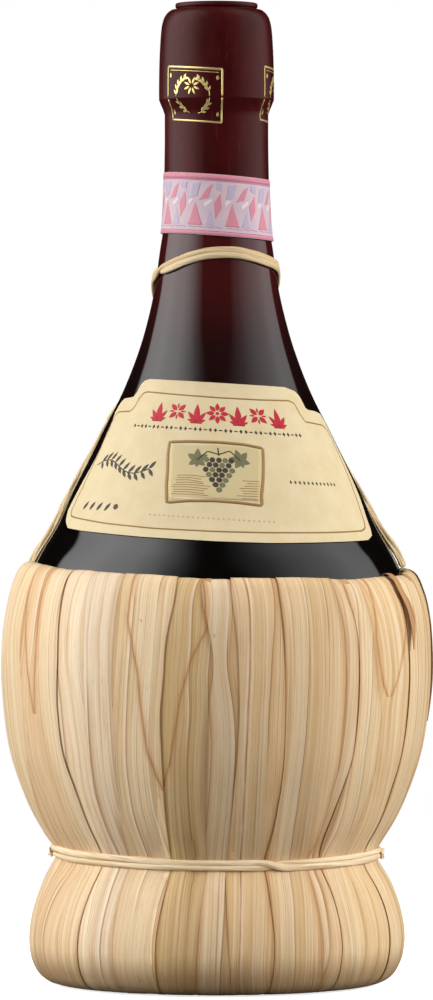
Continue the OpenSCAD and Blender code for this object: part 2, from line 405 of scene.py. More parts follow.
def give(node, mat):
    ob = nodes[node]
    ob.data.materials.clear()
    ob.data.materials.append(mat)


# ---------------------------------------------------------------- camera, light and floor
cam = bpy.data.cameras.new("camera")
cam.lens, cam.sensor_width, cam.sensor_fit = 216, 36, "AUTO"
cam.clip_start, cam.clip_end = 0.05, 20
cam_ob = bpy.data.objects.new("camera", cam)
scene.collection.objects.link(cam_ob)
cam_ob.location = (0, -1.6, 0.142)
aim = Vector((0, 0, 0.1287)) - cam_ob.location
cam_ob.rotation_euler = aim.to_track_quat("-Z", "Y").to_euler()
scene.camera = cam_ob
scene.view_settings.view_transform = "Standard"

world = bpy.data.worlds.new("studio")
scene.world = world
world.use_nodes = True
wt = world.node_tree
wt.nodes.clear()
w_out = wt.nodes.new("ShaderNodeOutputWorld")
w_bg = wt.nodes.new("ShaderNodeBackground")
w_path = wt.nodes.new("ShaderNodeLightPath")
w_bg.inputs["Color"].default_value = (1, 1, 1, 1)
w_mix = wt.nodes.new("ShaderNodeMix")
w_mix.data_type = "FLOAT"
w_mix.inputs[2].default_value, w_mix.inputs[3].default_value = 0.20, 1.0
w_gl = wt.nodes.new("ShaderNodeMix")
w_gl.data_type = "FLOAT"
w_gl.inputs[3].default_value = 0.006
wt.links.new(w_path.outputs["Is Camera Ray"], w_mix.inputs[0])
wt.links.new(w_mix.outputs[0], w_gl.inputs[2])
wt.links.new(w_path.outputs["Is Glossy Ray"], w_gl.inputs[0])
wt.links.new(w_gl.outputs[0], w_bg.inputs["Strength"])
wt.links.new(w_bg.outputs[0], w_out.inputs[0])


def stage_mesh(name, verts, faces, mat):
    me = bpy.data.meshes.new(name)
    me.from_pydata(verts, [], faces)
    me.update()
    ob = bpy.data.objects.new(name, me)
    scene.collection.objects.link(ob)
    me.materials.append(mat)
    return ob


def softbox(name, side, stops, low, dark, power):
    """A tall glowing side wall that arches over to the middle: it changes from its front to its back
    and fades out overhead."""
    m = Mat(name)
    m.t.nodes.remove(m.b)
    em = m.t.nodes.new("ShaderNodeEmission")
    geo = m.t.nodes.new("ShaderNodeNewGeometry")
    q = m.xyz(geo.outputs["Position"])
    g = m.ramp(m.map(q[1], -1.5, 1.5), [((a + 1.5) / 3, (b / 4, b / 4, b / 4)) for a, b in stops])
    over = m.math("POWER", m.map(m.mul(q[0], side), dark, 0.74, 0, 1, True), power)
    fade = m.mul(m.map(q[2], low, low + 0.12, 0, 1, True), over)
    m.put(em.inputs["Strength"], m.mul(m.mul(g, 4.0), fade))
    m.t.links.new(em.outputs[0], m.out.inputs[0])
    line = [(0.75 * side, low), (0.75 * side, 0.85)]
    for k in range(1, 25):
        t = math.pi / 2 * k / 24
        line.append((0.75 * side * math.cos(t), 0.85 + 0.75 * math.sin(t)))
    verts = [(x, y, z) for x, z in line for y in (-1.5, 1.5)]
    faces = [(2 * k, 2 * k + 1, 2 * k + 3, 2 * k + 2) for k in range(len(line) - 1)]
    ob = stage_mesh(name, verts, faces, m.m)
    ob.visible_camera = ob.visible_diffuse = ob.visible_shadow = False
    return ob


softbox("softbox_left", -1, [(-1.5, 0.0), (-1.0, 0.8), (-0.35, 3.0), (0.05, 3.2), (0.5, 1.5), (0.56, 0.0)], 0.0, 0.10, 1.6)
softbox("softbox_right", 1, [(-1.5, 0.0), (-0.8, 0.45), (-0.3, 1.2), (0.15, 1.7), (0.5, 1.0), (0.56, 0.0)], 0.0, 0.0, 1.0)


def area(name, loc, size, power, target=(0, 0, 0.12), glossy=False):
    li = bpy.data.lights.new(name, "AREA")
    li.shape, li.size, li.energy = "DISK", size, power
    ob = bpy.data.objects.new(name, li)
    scene.collection.objects.link(ob)
    ob.location = loc
    ob.rotation_euler = (Vector(target) - ob.location).to_track_quat("-Z", "Y").to_euler()
    ob.visible_glossy = glossy
    ob.visible_camera = False
    return ob


area("side_left", (-1.1, -0.25, 0.50), 0.9, 15.0)
area("side_right", (1.1, -0.25, 0.50), 0.9, 16.0)
area("fill_front", (-0.25, -1.4, 0.9), 0.8, 5.5)
area("fill_top", (0.0, 0.3, 1.5), 0.8, 5.0)

floor = Mat("floor_white")
_lp = floor.t.nodes.new("ShaderNodeLightPath")
floor.set(Base_Color=floor.mix(_lp.outputs["Is Camera Ray"], (0.22, 0.21, 0.20), (0.95, 0.95, 0.95)), Roughness=0.9,
          Emission_Color=(1.0, 1.0, 1.0), Emission_Strength=floor.mul(_lp.outputs["Is Camera Ray"], 0.75))
floor.b.inputs["Specular IOR Level"].default_value = 0.1
_g = floor.t.nodes.new("ShaderNodeNewGeometry")
_l = floor.t.nodes.new("ShaderNodeVectorMath")
_l.operation = "LENGTH"
floor.t.links.new(_g.outputs["Position"], _l.inputs[0])
floor.put(floor.b.inputs["Alpha"], floor.map(_l.outputs["Value"], 0.12, 0.42, 1, 0, True))
ang = [2 * math.pi * k / 64 for k in range(64)]
fl = stage_mesh("floor", [(0.6 * math.cos(a), 0.6 * math.sin(a), -0.00002) for a in ang],
                [tuple(range(64))], floor.m)

# ---------------------------------------------------------------- glass, wine and cork
glass = Mat("dark_glass")
gz = glass.xyz(glass.obj())
# painted light: from about z 150 to z 215 the base colour turns dark red, strongest round z 186 to 202, standing in for
# light shining through the thin wine in the neck; below and above it the glass is near black
tint = glass.ramp(glass.map(gz[2], 90, 235), [
    (0.0, (0.0020, 0.0020, 0.0018)), (0.42, (0.0045, 0.0026, 0.0024)),
    (0.55, (0.020, 0.0050, 0.0048)), (0.66, (0.060, 0.0075, 0.0075)), (0.77, (0.072, 0.008, 0.008)), (0.86, (0.010, 0.009, 0.006)),
    (1.0, (0.007, 0.008, 0.005))])
cloud = glass.noise(glass.scaled(glass.obj(), 0.03, 0.03, 0.012), 1.0, 2.0)
glass.set(Base_Color=glass.mix(glass.map(cloud, 0.35, 0.7, 0, 0.5), tint, (0.002, 0.002, 0.0018)),
          Roughness=glass.map(glass.noise(glass.obj(), 0.05, 2.0), 0.3, 0.7, 0.035, 0.075))
glass.b.inputs["IOR"].default_value = 1.52
glass.b.inputs["Normal"].default_value = (0, 0, 0)
glass.set(Normal=glass.bump(glass.noise(glass.scaled(glass.obj(), 0.06, 0.06, 0.02), 1.0, 2.0),
                            0.0003, 0.35))

inner = FL - np.interp(FL[:, 1], [w[0] for w in WALL], [w[1] for w in WALL])[:, None] * FL_N
inner[0, 0] = 0
inner = inner[inner[:, 1] < 219]
lip = spline(LIP, 3)
flask_prof = np.concatenate([FL, lip, [[9.25, 219.2]], inner[::-1]])


def blown(az, z):
    """The slight unevenness of blown glass, kept off the mouth and the bore."""
    w = smooth01(z, 20, 60) * (1 - smooth01(z, 165, 195))
    return w * 0.12 * (ring_noise(az, 5, z * 0.02, 3) + 0.5 * ring_noise(az, 9, z * 0.04, 4))


s = Soup()
lathe(s, flask_prof, 192, blown)
piece("glass_flask", s, glass.m, replaces=("glass_bottle",), sharp=40)

wine = Mat("red_wine")
wn = wine.noise(wine.scaled(wine.obj(), 0.05, 0.05, 0.05), 1.0, 2.0)
wine.set(Base_Color=wine.mix(wine.map(wn, 0.3, 0.7), (0.035, 0.002, 0.005), (0.06, 0.003, 0.008)),
         Roughness=wine.map(wn, 0, 1, 0.03, 0.06))
give("wine_fill", wine.m)

corkm = Mat("cork_bark")
co = corkm.obj()
spots = corkm.map(corkm.noise(corkm.scaled(co, 0.9, 0.9, 0.28), 1.0, 5.0, 0.7), 0.56, 0.66, 0, 1, True)
grain = corkm.noise(corkm.scaled(co, 0.35, 0.35, 0.10), 1.0, 4.0)
cc = corkm.mix(corkm.map(grain, 0.3, 0.7), hexc("#b98f62"), hexc("#d6b285"))
cc = corkm.mix(corkm.mul(spots, 0.75), cc, hexc("#5f3f26"))
stain = corkm.map(corkm.xyz(co)[2], 220.2, 224.5, 1, 0, True)
cc = corkm.mix(corkm.mul(stain, 0.85), cc, hexc("#4a1526"))
corkm.set(Base_Color=cc, Roughness=0.82,
          Normal=corkm.bump(corkm.plus(corkm.mul(spots, -1.0), corkm.mul(grain, 0.4)), 0.0003, 0.7))
give("cork", corkm.m)

# ---------------------------------------------------------------- the straw basket: its form
RIM = [(-180, -1.0), (-135, -0.6), (-80, 0), (-62, -0.7), (-40, -2.3), (-19, -3.0), (0, -4.0),
       (16, -3.6), (35, -4.0), (52, -3.8), (72, -3.3), (90, -3.0), (135, -1.5), (180, -1.0)]


def wrap180(az):
    return (np.asarray(az, float) + 180) % 360 - 180


def rim_drop(az):
    """How far the rim is pressed down at an angle: it is lower in front than behind."""
    a = wrap180(az)
    v = sum(np.interp(wrap180(a + d), [p[0] for p in RIM], [p[1] for p in RIM])
            for d in (-8, -4, 0, 4, 8)) / 5
    return v + 0.22 * ring_noise(a, 30, 0, 21)


_raw = spline(BASKET + FLAP, 10)
# the blades turn in right down on the table and hide the plait from the side
_lower = np.arange(len(_raw)) < 120
_raw[_lower, 1] -= (1.35 * (1 - smooth01(_raw[:, 1], 1.5, 9.0)))[_lower]
_ra = arc(_raw)
_turn = len(BASKET) * 10 - 10
_top = _ra[_turn]
_foot = np.interp(2.6, _raw[:60, 1], _ra[:60])


def rows_for(lo, hi, step=1.15):
    """Arc positions of a blade's rows, closer together round the foot and the rim."""
    at, out = lo, [lo]
    while at < hi:
        near = min(abs(at - _foot) / 6, abs(at - _top) / 5, 1.0)
        at += step * (0.38 + 0.62 * near)
        out.append(min(at, hi))
    return np.array(out)


def path_at(a):
    P = np.stack([np.interp(a, _ra, _raw[:, 0]), np.interp(a, _ra, _raw[:, 1])], 1)
    N0 = normals2(_raw)
    N = np.stack([np.interp(a, _ra, N0[:, 0]), np.interp(a, _ra, N0[:, 1])], 1)
    return P, N / np.linalg.norm(N, axis=1)[:, None]


def waist_mid(az):
    """Height of the middle of the waist cord: it isn't quite level."""
    a = wrap180(az)
    return np.interp(a, [-180, -130, -75, -30, 0, 30, 75, 130, 180],
                     [34.3, 35.0, 35.5, 34.5, 34.0, 34.0, 34.8, 34.6, 34.3])


def swell(az, h):
    """Unevenness that every layer of the basket follows, so that no layer cuts another."""
    waist = 1 - np.exp(-((h - waist_mid(az)) / 2.2) ** 2)
    body = 0.30 * ring_noise(az, 8, h * 0.022, 1) + 0.20 * ring_noise(az, 19, h * 0.03, 2) \
        + 0.10 * ring_noise(az, 60, h * 0.03, 5)
    pleat = 0.62 * ring_noise(az, 58, h * 0.022, 7) * np.exp(-((h - WAIST_Z) / 11) ** 2) \
        + 0.30 * ring_noise(az, 110, h * 0.03, 9) * np.exp(-((h - WAIST_Z) / 7) ** 2)
    skirt = 0.30 * ring_noise(az, 44, h * 0.02, 8) * smooth01(h, 4, 14) * (1 - smooth01(h, 26, 34))
    keep = smooth01(h, 2.2, 8) * (1 - 0.85 * smooth01(h, 107, 112))
    return (body + pleat + skirt) * waist * keep


def on_basket(a, az, n, rise=0.0):
    """Points on the basket: arc position (rows), angle and height above its outside (rows, columns)."""
    P, N = path_at(a)
    r0, z0 = P[:, :1], P[:, 1:]
    flap = (a > _top).astype(float)[:, None]
    h = np.where(flap > 0, 112.5, z0) + 0 * az
    d = (rim_drop(az) + rise) * np.where(flap > 0, 1.0, smooth01(z0, 86, 110))
    inward = smooth01(a, _top - 1, _top + 3)[:, None]
    lim = np.maximum(inward, 1 - smooth01(z0, 1.7, 3.2))
    waist = np.exp(-((z0 - waist_mid(az)) / 2.0) ** 2) * (1 - flap)
    n = np.where(n > 0, n * (1 - 0.8 * lim), n)
    n = n * (1 - waist) + np.minimum(n, -0.06) * waist
    g = swell(az, h) * (1 - flap) + n
    return polar(r0 + N[:, :1] * g - d * (0.30 + 0.12 * inward), z0 + N[:, 1:] * g + d, az)


# Seams between the outer blades: which side lies on top, how strong the brown line on its two sides is (a browned leaf
# edge with painted shadow in the seam), how far the upper edge stands up, and the seam's course as height and angle
# from the front
SEAMS = [
    ("R", 0.3, 0.5, 0.20, [(108, -64.5), (92, -64.5), (79, -63.2), (61, -66), (48, -71), (36, -72.2), (3, -74)]),
    ("R", 0.1, 0.15, 0.08, [(108, -54), (76, -54), (64, -54.4), (50, -53.7), (37, -53.4), (20, -55), (3, -56)]),
    ("L", 0.5, 0.2, 0.22, [(109, -46.7), (97, -46.4), (86, -46.1), (76, -47.1), (64, -46.8), (53, -44.5), (38, -43.7), (20, -46), (3, -47)]),
    ("R", 0.3, 0.35, 0.15, [(109, -38.1), (94, -37.1), (73, -37.3), (52, -37.5), (37, -39.4), (3, -39.5)]),
    ("R", 0.7, 0.6, 0.34, [(108, -27.3), (103, -27.8), (90, -28), (68, -28.4), (62, -28.7), (48, -30), (36, -32.4), (28, -32.3), (20, -33.1), (4, -32.6)]),
    ("L", 0.35, 0.3, 0.42, [(107, -11.2), (101, -12.2), (92, -13.4), (83, -13.7), (75, -14.8), (64, -14.9), (55, -15.2), (44, -15.5), (36, -16.1), (31, -16.4), (23, -17.5), (15, -18.5), (3, -18.8)]),
    ("R", 0.6, 0.7, 0.22, [(108, -4), (100, -2.3), (95, -1.6), (90, -0.8), (85, -0.6), (79, -1.5), (72, -2.3), (63, -3.1), (52, -3.4), (32, -3.2), (23, -4.8), (13, -5.8), (1, -6.7)]),
    ("R", 0.35, 0.45, 0.18, [(108, 4.2), (98, 5.2), (89, 5.8), (75, 6.1), (63, 5.6), (46, 4.3), (36, 3.5), (28, 3.1), (15, 3.5), (7, 4.3)]),
    ("R", 0.9, 0.75, 0.30, [(108, 17.2), (98, 17.6), (89, 18), (75, 18.4), (63, 18.6), (56, 18.7), (44, 18), (36, 16.9), (23, 17.3), (15, 17.8), (1, 17.4)]),
    ("L", 0.95, 0.5, 0.26, [(108, 34.2), (99, 35.4), (91, 35.8), (78, 36.1), (62, 36), (53, 35.1), (42, 35.1), (36, 34.1), (27, 33.1), (10, 33.1), (2, 35.6)]),
    ("R", 0.6, 0.8, 0.28, [(108, 38), (101, 39.5), (93, 40), (62, 40.2), (50, 38.2), (41, 37.4), (36, 38.6), (33, 39.8), (26, 40.8), (10, 41.1), (3, 41.2)]),
    ("L", 0.5, 0.4, 0.20, [(107, 43.9), (93, 45.3), (83, 46.3), (74, 49.4), (60, 50.7), (45, 50.4), (36, 52), (24, 51), (5, 51.1)]),
    ("R", 0.6, 0.7, 0.26, [(108, 60.4), (90, 61.6), (72, 62.3), (51, 62.8), (36, 65.5), (21, 67), (9, 65.8)]),
    ("L", 1.0, 0.8, 0.34, [(105, 76), (88, 78), (69, 80.5), (51, 80.5), (31, 81.4), (12, 79.5)]),
]
TINTS = {"a": "#e2c79a", "b": "#e8d2a9", "c": "#eedcbb", "d": "#e3d3b6", "e": "#d0b582",
         "f": "#d8bf96", "g": "#dcc093", "h": "#e0c399", "p": "#e2c6a2", "w": "#ecdcc6"}
ORDER = "hbcdbefgghbabg"
rs = np.random.default_rng(5)
seams = []
for top, bl, br, lift, pts in SEAMS:
    q = sorted((p[0], p[1]) for p in pts)
    seams.append(dict(top=top, bl=bl, br=br, lift=lift, z=np.array([p[0] for p in q], float),
                      az=np.array([p[1] for p in q], float)))
n_back = 18
for k in range(n_back):
    mid = 91.5 + k * (190.0 / (n_back - 1)) + rs.uniform(-1.6, 1.6) * (0 < k < n_back - 1)
    z = np.array([0, 15, 34, 50, 66, 82, 96, 110.0])
    seams.append(dict(top="LR"[int(rs.random() < 0.55)], bl=rs.uniform(0.15, 0.9),
                      br=rs.uniform(0.15, 0.8), lift=rs.uniform(0.12, 0.36), z=z,
                      az=mid + rs.uniform(-1.3, 1.3, 8) + (z - 34) * rs.uniform(-0.012, 0.012)))
n_seams = len(seams)


def smooth_rows(v, k=3):
    w = np.exp(-0.5 * (np.arange(-2 * k, 2 * k + 1) / k) ** 2)
    return np.convolve(np.pad(v, 2 * k, mode="edge"), w / w.sum(), "valid")


def seam_at(k, h, turn=0.0):
    e = seams[k % n_seams]
    v = smooth_rows(np.interp(h, e["z"], e["az"]), 2)
    return v + 0.12 * noise2(h * 0.07, k * 3.7, 31) + 0.035 * noise2(h * 0.45, k * 5.1, 32) + turn


# Long brown lines in the grain of a leaf: seam number of the leaf, then the line's course
GRAIN = {4: [[(108, -23.8), (100, -24.1), (93, -22.5), (84, -20.6), (77, -20.2), (64, -18.9), (57, -16.5), (54, -15.0)]],
         5: [[(106, -3.4), (98, -2.3), (88, -6.6), (79, -9.2), (68, -11.3), (61, -12.7), (55, -15.4)]],
         11: [[(108, 47.1), (94, 46.5), (86.6, 47.6), (80, 49.5), (76.6, 52.2)],
              [(97, 60.5), (90, 58.5), (82.9, 56), (79, 53.8), (76.6, 52.2)]],
         0: [[(110, -65.2), (103, -63.5), (93, -61.2), (86.6, -60.0), (78, -58.2), (72.5, -57.1)],
             [(107, -55.8), (94, -55.2), (84, -55.8), (74.7, -56.5), (72.5, -57.1)]]}
BLADE_T = 0.14
cells = {"used": 0.0}


def blade(soup, a, azl, azr, ident, tint, top_l=True, top_r=True, lift=(0.2, 0.2), brown=(0.4, 0.4),
          base=0.0, dip=0.17, ext=2.4, thick=BLADE_T, cols=None, vein=(0.5, 0.0), dark=0.0, cell=(0, 1, 0, 1),
          crown=0.07, grain=None, rise=0.0):
    """One flat leaf, closed all round, between two seams given as angles by row."""
    P, _ = path_at(a)
    r = P[:, 0]
    h = np.where(a > _top, 112.5, P[:, 1])
    mm = r * math.pi / 180
    lo = azl - (0 if top_l else 1) * ext / mm
    hi = azr + (0 if top_r else 1) * ext / mm
    width = float(np.median((hi - lo) * mm))
    nc = cols or int(np.clip(round(width / 0.75), 7, 26))
    t = np.arange(nc) / (nc - 1)
    u = 0.72 * t + 0.28 * (0.5 - 0.5 * np.cos(math.pi * t))
    az = lo[:, None] + (hi - lo)[:, None] * u[None, :]
    dl = (az - azl[:, None]) * mm[:, None]
    dr = (azr[:, None] - az) * mm[:, None]
    H = h[:, None] + 0 * az
    n = base + crown * np.sin(math.pi * u)[None, :] + 0 * az
    wob = 0.75 + 0.5 * noise2(H * 0.06, ident * 1.7, 41)
    for side, d, top, lf in ((0, dl, top_l, lift[0]), (1, dr, top_r, lift[1])):
        if top:
            n = n + (0.05 + 0.45 * lf * wob) * np.exp(-np.maximum(d, 0) / 0.8)
        else:
            n = n - dip * (1 - smooth01(d, -0.4, 2.2))
    ga = (a - a[0]) / (a[-1] - a[0])
    straight = np.polyval(np.polyfit(ga, azl, 3), ga)
    bend = ((azl - straight) * mm)[:, None]
    x = dl + bend + 0 * n
    n = n + 0.050 * noise2(x * 0.62, H * 0.014 + ident * 3.1, 43) \
        + 0.028 * noise2(x * 1.5, H * 0.02 + ident * 5.3, 44)
    n = n + 0.10 * noise2(H * 0.05 + 9 * ident, u[None, :] * 1.6, 45)
    outer = on_basket(a, az, n, rise)
    ni = 5
    ui = np.linspace(1, 0, ni)
    azi = lo[:, None] + (hi - lo)[:, None] * (0.004 + 0.992 * ui)[None, :]
    nin = np.stack([np.interp(0.004 + 0.992 * ui, u, row) for row in n])
    tk = thick * (0.55 + 0.45 * np.sin(math.pi * ui))[None, :]
    under = on_basket(a, azi, nin - tk, rise)
    ring = np.concatenate([outer, under], 1)
    s_mm = a[:, None] + 0 * az
    X = np.concatenate([x, (azi - azl[:, None]) * mm[:, None]], 1)
    DR = np.concatenate([dr, (azr[:, None] - azi) * mm[:, None]], 1)
    S = np.concatenate([s_mm, a[:, None] + 0 * azi], 1)
    strip = np.stack([X + bend, S, np.full(X.shape, float(ident))], -1)
    rim = np.stack([X, DR, np.full(X.shape, 0.0)], -1)
    HH = np.concatenate([H, h[:, None] + 0 * azi], 1)
    # darker towards the foot of each blade; dark adds painted shade all over, used for the layer below
    foot = 0.75 * (1 - smooth01(HH, 4, 13)) + dark
    far = 0 * X + 50.0
    lines = [far, far]
    AZ = np.concatenate([az, azi], 1)
    MMs = mm[:, None] + 0 * AZ
    for g, pts in enumerate(GRAIN.get(grain, [])):
        q = sorted(pts)
        c0 = smooth_rows(np.interp(h, [p[0] for p in q], [p[1] for p in q]), 1)[:, None]
        d0 = (AZ - c0) * MMs
        lines[g] = np.where(HH < q[0][0], np.where(d0 < 0, -50.0, 50.0), d0)
    marks = np.stack([lines[0], lines[1], HH], -1)
    # per point: strength of the line at the left and right seam (a browned edge with painted seam shadow), darkening
    # towards the foot together with the painted shade of the layer below, and vein strength
    soil = np.stack([np.full(X.shape, brown[0]), np.full(X.shape, brown[1]), foot,
                     np.full(X.shape, vein[1])], -1)
    tc = hexc(tint)
    tone = np.broadcast_to(np.array([tc[0], tc[1], tc[2], vein[0]]), X.shape + (4,))
    x0, x1, y0, y1 = cell
    k = np.concatenate([0.88 * u, 0.90 + 0.10 * (1 - ui), [1.0]])
    v = (a - a[0]) / (a[-1] - a[0])
    uv = np.stack(np.broadcast_arrays(x0 + (x1 - x0) * k[None, :], y0 + (y1 - y0) * v[:, None]), -1)
    soup.grid(ring, wrap_v=True, uv=uv, cap=True, strip=strip, rim=rim, soil=soil, tone=tone,
              marks=marks)
    return width


# ---------------------------------------------------------------- straw leaf material
def straw_leaf(name, gain=1.0):
    m = Mat(name)
    st = m.attr("strip")
    q = m.xyz(st)
    x, s, ident = q[0], q[1], q[2]
    rim = m.xyz(m.attr("rim"))
    soil_n = m.t.nodes.new("ShaderNodeAttribute")
    soil_n.attribute_name = "soil"
    soil = m.xyz(soil_n.outputs["Vector"])
    tone = m.attr("tone", "Color")
    mid = m.alpha("tone")
    seed = m.mul(ident, 7.31)
    broad = m.noise(m.vec(m.mul(x, 0.26), m.mul(s, 0.006), seed), 1.0, 2.0)
    band = m.noise(m.vec(m.mul(x, 0.62), m.mul(s, 0.0035), m.plus(seed, 2.0)), 1.0, 1.0)
    f1 = m.noise(m.vec(m.mul(x, 1.35), m.mul(s, 0.006), seed), 1.0, 3.0, 0.6)
    f2 = m.noise(m.vec(m.mul(x, 3.3), m.mul(s, 0.012), seed), 1.0, 3.0, 0.65)
    warp = m.plus(m.mul(m.noise(m.vec(m.mul(x, 0.10), 0.0, m.plus(seed, 13.0)), 1.0, 0.0), 1.5),
                  m.mul(m.noise(m.vec(m.mul(s, 0.013), seed, 4.0), 1.0, 0.0), 0.55))
    ft = m.plus(m.plus(m.mul(x, 0.145), warp), m.mul(seed, 0.37))
    fr, cell_n = m.math("FRACT", ft), m.math("FLOOR", ft)
    ct = m.noise(m.vec(m.mul(cell_n, 3.7), seed, 0.5), 1.0, 0.0)
    there = m.map(m.noise(m.vec(m.mul(cell_n, 5.1), m.mul(s, 0.014), m.plus(seed, 1.0)), 1.0, 0.0), 0.40, 0.50, 0, 1, True)
    f3 = m.noise(m.vec(m.mul(x, 3.4), m.mul(s, 0.50), m.plus(seed, 8.0)), 1.0, 3.0, 0.6)
    blotch = m.noise(m.vec(m.mul(x, 0.30), m.mul(s, 0.05), m.plus(seed, 3.0)), 1.0, 3.0)
    spots = m.noise(m.vec(m.mul(x, 0.75), m.mul(s, 0.20), m.plus(seed, 5.0)), 1.0, 2.0, 0.5)
    c = m.mix(m.map(broad, 0.42, 0.66, 0, 0.24, True), tone, hexc("#f0e2c8"))
    c = m.mix(m.map(band, 0.50, 0.64, 0, 0.20, True), c, hexc("#c2a878"))
    c = m.mix(m.map(band, 0.34, 0.46, 0.18, 0, True), c, hexc("#e2b98a"))
    c = m.mix(m.map(ct, 0.52, 0.66, 0, 0.20, True), c, hexc("#c0a274"))
    c = m.mix(m.map(ct, 0.34, 0.48, 0.16, 0, True), c, hexc("#f4e8d2"))
    c = m.mix(m.map(blotch, 0.50, 0.78, 0, 0.38), c, hexc("#cfa36a"))
    c = m.mix(m.map(f1, 0.30, 0.46, 0.28, 0.0, True), c, hexc("#b08a58"))
    c = m.mix(m.map(f1, 0.55, 0.70, 0.0, 0.26, True), c, hexc("#f4ead6"))
    c = m.mix(m.map(f2, 0.32, 0.47, 0.52, 0.0, True), c, hexc("#a07a4a"))
    c = m.mix(m.map(f2, 0.56, 0.72, 0.0, 0.34, True), c, hexc("#f4e9d4"))
    c = m.mix(m.map(f3, 0.56, 0.74, 0.0, 0.30, True), c, hexc("#b99a6c"))
    # painted light on false folds across each leaf: a painted highlight just before each fold line and a painted shadow
    # just after it; the bump below also raises each fold a little
    c = m.mix(m.mul(m.map(fr, 0.86, 0.96, 0, 0.30, True), there), c, hexc("#fbf2e0"))
    c = m.mix(m.mul(m.map(fr, 0.02, 0.22, 0.30, 0, True), there), c, hexc("#b07f45"))
    c = m.mix(m.mul(m.map(fr, 0.0, 0.07, 0.60, 0, True), there), c, hexc("#8a5c2a"))
    ragged = m.noise(m.vec(m.mul(x, 1.1), m.mul(s, 0.09), m.plus(seed, 11.0)), 1.0, 3.0)
    # brown lines along both seams of a leaf, a wide ragged band and a fine dark line: partly the leaf's own browned
    # edge, partly painted shadow in the seam
    for dist, strength in ((rim[0], soil[0]), (rim[1], soil[1])):
        wide = m.map(m.plus(dist, m.mul(ragged, -1.1)), -0.4, 1.5, 1, 0, True)
        fine = m.map(dist, 0.0, 0.34, 1, 0, True)
        c = m.mix(m.mul(m.mul(wide, strength), 0.42), c, hexc("#b98242"))
        c = m.mix(m.mul(m.mul(fine, strength), 0.60), c, hexc("#8f6230"))
    off = m.math("ABSOLUTE", m.math("SUBTRACT", x, mid))
    vein = m.mul(m.map(off, 0.05, 0.42, 1, 0, True), soil_n.outputs["Alpha"])
    c = m.mix(m.mul(vein, m.map(ragged, 0.3, 0.6, 0.35, 1.0)), c, hexc("#a8672c"))
    gq = m.xyz(m.attr("marks"))
    for gd in (gq[0], gq[1]):
        ga = m.math("ABSOLUTE", m.plus(gd, m.mul(m.math("SUBTRACT", ragged, 0.5), 0.7)))
        c = m.mix(m.mul(m.map(ga, 0.1, 1.5, 0.40, 0, True), m.map(blotch, 0.3, 0.6, 0.6, 1.0)), c, hexc("#b98046"))
        c = m.mix(m.map(ga, 0.05, 0.45, 0.62, 0, True), c, hexc("#a9713a"))
    c = m.mix(m.map(spots, 0.75, 0.81, 0.0, 0.55, True), c, hexc("#8f6433"))
    c = m.mix(1.0, c, (0.955, 0.905, 0.875), "MULTIPLY")
    # darker towards the foot of each blade; on the layer below the extra dark value makes this painted shade all over
    c = m.mix(m.mul(m.map(m.plus(soil[2], m.mul(m.math("SUBTRACT", blotch, 0.5), 0.5)), 0.1, 0.9, 0, 1), 0.75),
              c, hexc("#8a6a42"))
    # painted shade: a gain under 1 darkens the whole leaf, as in the shaded copy used for the layer below
    if gain != 1.0:
        c = m.mix(1.0, c, (gain, gain * 0.94, gain * 0.86), "MULTIPLY")
    h = m.plus(m.plus(m.mul(f1, 0.75), m.mul(f2, 0.55)), m.plus(m.mul(band, 0.6), m.mul(m.mul(m.math("POWER", fr, 3.0), there), 0.75)))
    m.set(Base_Color=c, Roughness=m.map(f1, 0.3, 0.7, 0.62, 0.46), Normal=m.bump(h, 0.00021, 0.85))
    m.b.inputs["Specular IOR Level"].default_value = 0.32
    return m


leaf = straw_leaf("straw_leaf")
# a darker copy of the leaf material for the layer below: painted shade
leaf_shaded = straw_leaf("straw_leaf_inner_shaded", 0.55)

# ---------------------------------------------------------------- the outer blades
full = rows_for(0.0, _ra[-1])
parts = [Soup(), Soup()]
names_tint = list(ORDER) + [rs.choice(list("abcghbdf")) for _ in range(n_back)]
h_full = np.where(full > _top, 112.5, path_at(full)[0][:, 1])
VEINS = {7: (3.0, 0.85), 8: (11.5, 0.35), 2: (4.0, 0.2), 0: (7.0, 0.3), 12: (5.0, 0.3)}
for k in range(n_seams):
    nxt = (k + 1) % n_seams
    L, R = seams[k], seams[nxt]
    turn = 360 if nxt == 0 else 0
    azl, azr = seam_at(k, h_full), seam_at(nxt, h_full, turn)
    half = k % 2
    col = (k // 2) / 16.0
    blade(parts[half], full, azl, azr, k + 1.0, TINTS[names_tint[k]], L["top"] == "R", R["top"] == "L",
          (L["lift"], R["lift"]), (L["br"], R["bl"]), vein=VEINS.get(k, (rs.uniform(2, 8), rs.uniform(0, 0.35))),
          cell=(col + 0.001, col + 1 / 16.0 - 0.001, 0.004, 0.996), base=rs.uniform(-0.03, 0.05), grain=k, rise=rs.uniform(-0.28, 0.22))
piece("straw_blades_a", parts[0], leaf.m, replaces=("outer_blades",), sharp=55)
piece("straw_blades_b", parts[1], leaf.m, sharp=55)

# ---------------------------------------------------------------- pointed blade ends over them
TIPS = [
    ([(108, 58.3), (103, 60.8), (96, 61.6), (90, 62.1)],
     [(108, 61.2), (103, 64.2), (96, 64), (90, 62.4)], "k", 1.02, (1.0, 1.0)),
]
for k in range(7):
    mid = 100 + k * 25.5 + rs.uniform(-5, 5)
    w, tip = rs.uniform(3.5, 6.5), rs.uniform(52, 84)
    sl = rs.uniform(-0.05, 0.05)
    zz = np.array([110, 100, 90, 80, 70, 60, tip])
    zz = np.unique(np.maximum(zz, tip))
    wid = w * np.clip((zz - tip) / (110 - tip), 0, 1) ** 0.55
    TIPS.append((list(zip(zz, mid + sl * (zz - 110) - wid - 0.1)), list(zip(zz, mid + sl * (zz - 110) + wid + 0.1)),
                 rs.choice(list("bhpcg")), 0.60, (rs.uniform(0.3, 0.9), rs.uniform(0.3, 0.9))))
TINTS["k"] = "#9c6a3a"
tips = Soup()
